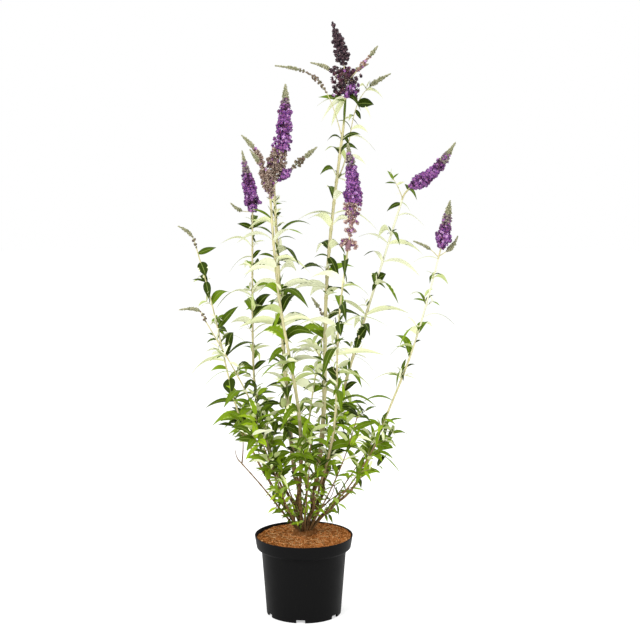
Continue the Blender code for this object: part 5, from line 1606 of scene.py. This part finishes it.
def lay_florets(skin, florets, rng):
    """Open florets: four blunt lobes round a sunk orange eye, on a narrow tube.

    Two rings of points in each floret's own frame: the throat, and a rim whose radius dips between
    the lobes. The rim is uneven along the axis.
    """
    around = np.arange(LOBE_POINTS) * math.tau / LOBE_POINTS
    notch = np.arange(LOBE_POINTS) % (LOBE_POINTS // 4) == 2
    rim = np.where(notch, 0.50, 1.0)
    throat = np.stack([0.22 * np.cos(around), 0.22 * np.sin(around), 0 * around], axis=-1)
    lobes = np.stack([rim * np.cos(around), rim * np.sin(around), np.where(notch, 0.10, 0.02)], axis=-1)
    rim_only = np.array([0, 1])[:, None, None] * (0, 0, 1)
    uneven = rng.normal(0, 0.10, (len(florets), 2, LOBE_POINTS, 1)) * rim_only
    places, axes, size, colour = (np.array(values) for values in zip(*florets))
    size = size[:, None, None]
    frames = frames_of(axes, rng)
    rings = ((np.stack([throat, lobes]) + uneven) * size[..., None]) @ frames[:, None] + places[:, None, None]
    ends = (np.array([(0, 0, -0.30), (0, 0, -1.5)]) * size) @ frames + places[:, None]
    numbers = skin.points(rings)
    tips = skin.points(ends)
    skin.sides(strips(numbers)[..., ::-1], colour[:, None, None])
    skin.sides(fan(numbers[:, 0], tips[:, 0], False)[..., ::-1], len(FLORET_COLOURS))
    skin.sides(fan(numbers[:, 1], tips[:, 1], False), len(FLORET_COLOURS) + 1)


def lay_buds(skin, buds, palette, rng):
    """Closed or withered bells: five-sided spindles, blunt at the outer end and slightly uneven."""
    places, axes, length, breadth, colours = zip(*buds)
    places = np.array(places)
    length, breadth = (np.array(values)[:, None, None] for values in (length, breadth))
    around = np.arange(BUD_SIDES) * math.tau / BUD_SIDES
    uneven = rng.uniform(0.8, 1.2, (len(buds), 2, BUD_SIDES))
    radius = 0.5 * breadth * np.array([1.0, 0.86])[:, None] * uneven
    height = np.broadcast_to(length * np.array([-0.12, 0.34])[:, None], radius.shape)
    frames = frames_of(np.array(axes), rng)
    rings = np.stack([radius * np.cos(around), radius * np.sin(around), height], axis=-1)
    numbers = skin.points(rings @ frames[:, None] + places[:, None, None])
    tips = skin.points(places[:, None] + np.array([-0.60, 0.50])[:, None] * length * frames[:, 2:3])
    finish = np.array([palette.index(colour) for colour in colours])
    skin.cover(numbers, tips, finish[:, None])


def grow_cores(skin, line, spike, run, palette, rng):
    """The crowded stalks inside a run, in one lumpy tube for each stage, in the darkest colour of its kind:
    painted shade between the bells.
    """
    start, end, breadth = run
    last = run is spike.runs[-1]
    ends = [first for first, _ in spike.stages[1:]] + [1]
    for (first, kind), until in zip(spike.stages, ends):
        low, high = max(start, first), min(end, until)
        if high - low < 0.03:
            continue
        rings = max(5, round((high - low) * line.length / CORE_STEP))
        where = np.linspace(low, high, rings)
        radii = run_radius((where - start) / (end - start), breadth, last) * (1 - spike.slim * where)
        radii = np.maximum(radii * KINDS[kind].core - 0.0004, 0.0006)[:, None]
        radii = radii * rng.uniform(0.80, 1.20, (rings, CORE_SIDES))
        darkest = palette.index(KINDS[kind].colours[-1])
        grow_tube(skin, line.at(where * line.length), radii, CORE_SIDES, darkest)


palette = [*PLUM, *MAUVE, *GREY_GREEN, *BROWN, *FADED, *DUSKY, *MAROON]
floret_finishes = finishes("violet", FLORET_COLOURS, 0.60, 0.1)
floret_finishes += [Finish("floret_eye", FLORET_EYE, 0.6), Finish("floret_tube", FLORET_TUBE, 0.6)]
bud_finishes = finishes("bud", palette, 0.75, 0.1)
rng = np.random.default_rng(9)
raceme_skin = Skin()
groups = {name: (Skin(), [], []) for name in GROUPS}
for line, spike in spike_lines:
    bud_skin, florets, buds = groups[GROUPS[np.searchsorted(GROUP_BOUNDS, line.points[-1, 0])]]
    for run in spike.runs:
        if stage_at(spike, run[0]) == "ragged":
            grow_ragged(line, run, raceme_skin, rng, florets, buds)
            continue
        open_run(line, spike, run, rng, florets, buds)
        grow_cores(bud_skin, line, spike, run, palette, rng)
for name, (bud_skin, florets, buds) in groups.items():
    skin = Skin()
    lay_florets(skin, florets, rng)
    skin.piece(f"florets_{name}", floret_finishes, "blossom", head_nodes, 40)
    lay_buds(bud_skin, buds, palette, rng)
    bud_skin.piece(f"buds_{name}", bud_finishes, "blossom", [*head_nodes, "shoot_top_right"], 62)
raceme_skin.piece("raceme_stalks", [pale], "foliage", ["head_centre"], 60)


# The setting is a plain pale floor under broad soft lamps, seen from a little above the plant's
# middle through a long lens.
FLOOR_RADIUS = 9
FLOOR_SIDES = 96
FLOOR_PALE = (0.50, 0.50, 0.50)
FLOOR_GLOW = 0.50
WHITE = (1, 1, 1)
CAMERA_PLACE = (0.038, -3.5, 1.20)
CAMERA_PITCH = math.radians(81.8)
CAMERA_LENS = 86.46

# A lamp: its place, the point it faces, its side in metres and its power in watts.
LAMPS = (
    ((-1.9, -2.6, 2.7), (0.0, 0.0, 0.75), 1.6, 125),
    ((2.3, -2.2, 1.9), (0.0, 0.0, 0.75), 1.6, 45),
    ((0.2, 0.6, 3.6), (0.0, 0.0, 0.60), 1.8, 60),
)


turns = np.linspace(0, math.tau, FLOOR_SIDES, endpoint=False)
corners = FLOOR_RADIUS * np.stack([np.cos(turns), np.sin(turns), 0 * turns], axis=-1)
floor_mesh = bpy.data.meshes.new("floor")
floor_mesh.from_pydata(corners.tolist(), [], [list(range(FLOOR_SIDES))])
glow = {"Emission_Color": WHITE, "Emission_Strength": FLOOR_GLOW}
pale_floor = Finish("pale_floor", FLOOR_PALE, 0.9, Specular_IOR_Level=0.1, **glow)
floor_mesh.materials.append(pale_floor.material)
floor = put("floor", floor_mesh)

for index, (place, aim, side_length, power) in enumerate(LAMPS):
    lamp = bpy.data.lights.new(f"lamp_{index}", "AREA")
    lamp.size = side_length
    lamp.energy = power
    across, deep, down = np.array(aim) - np.array(place)
    hung = put(lamp.name, lamp)
    hung.location = place
    hung.rotation_euler = (math.atan2(math.hypot(across, deep), -down), 0, math.atan2(-across, deep))

scene = bpy.context.scene
world = bpy.data.worlds.new("pale_room")
world.use_nodes = True
background = world.node_tree.nodes["Background"]
background.inputs["Color"].default_value = (*WHITE, 1)
background.inputs["Strength"].default_value = 1.0
scene.world = world
scene.view_settings.view_transform = "Standard"

lens = bpy.data.cameras.new("camera")
lens.lens = CAMERA_LENS
lens.clip_end = 60
camera = put("camera", lens)
camera.location = CAMERA_PLACE
camera.rotation_euler = (CAMERA_PITCH, 0, 0)
scene.camera = camera
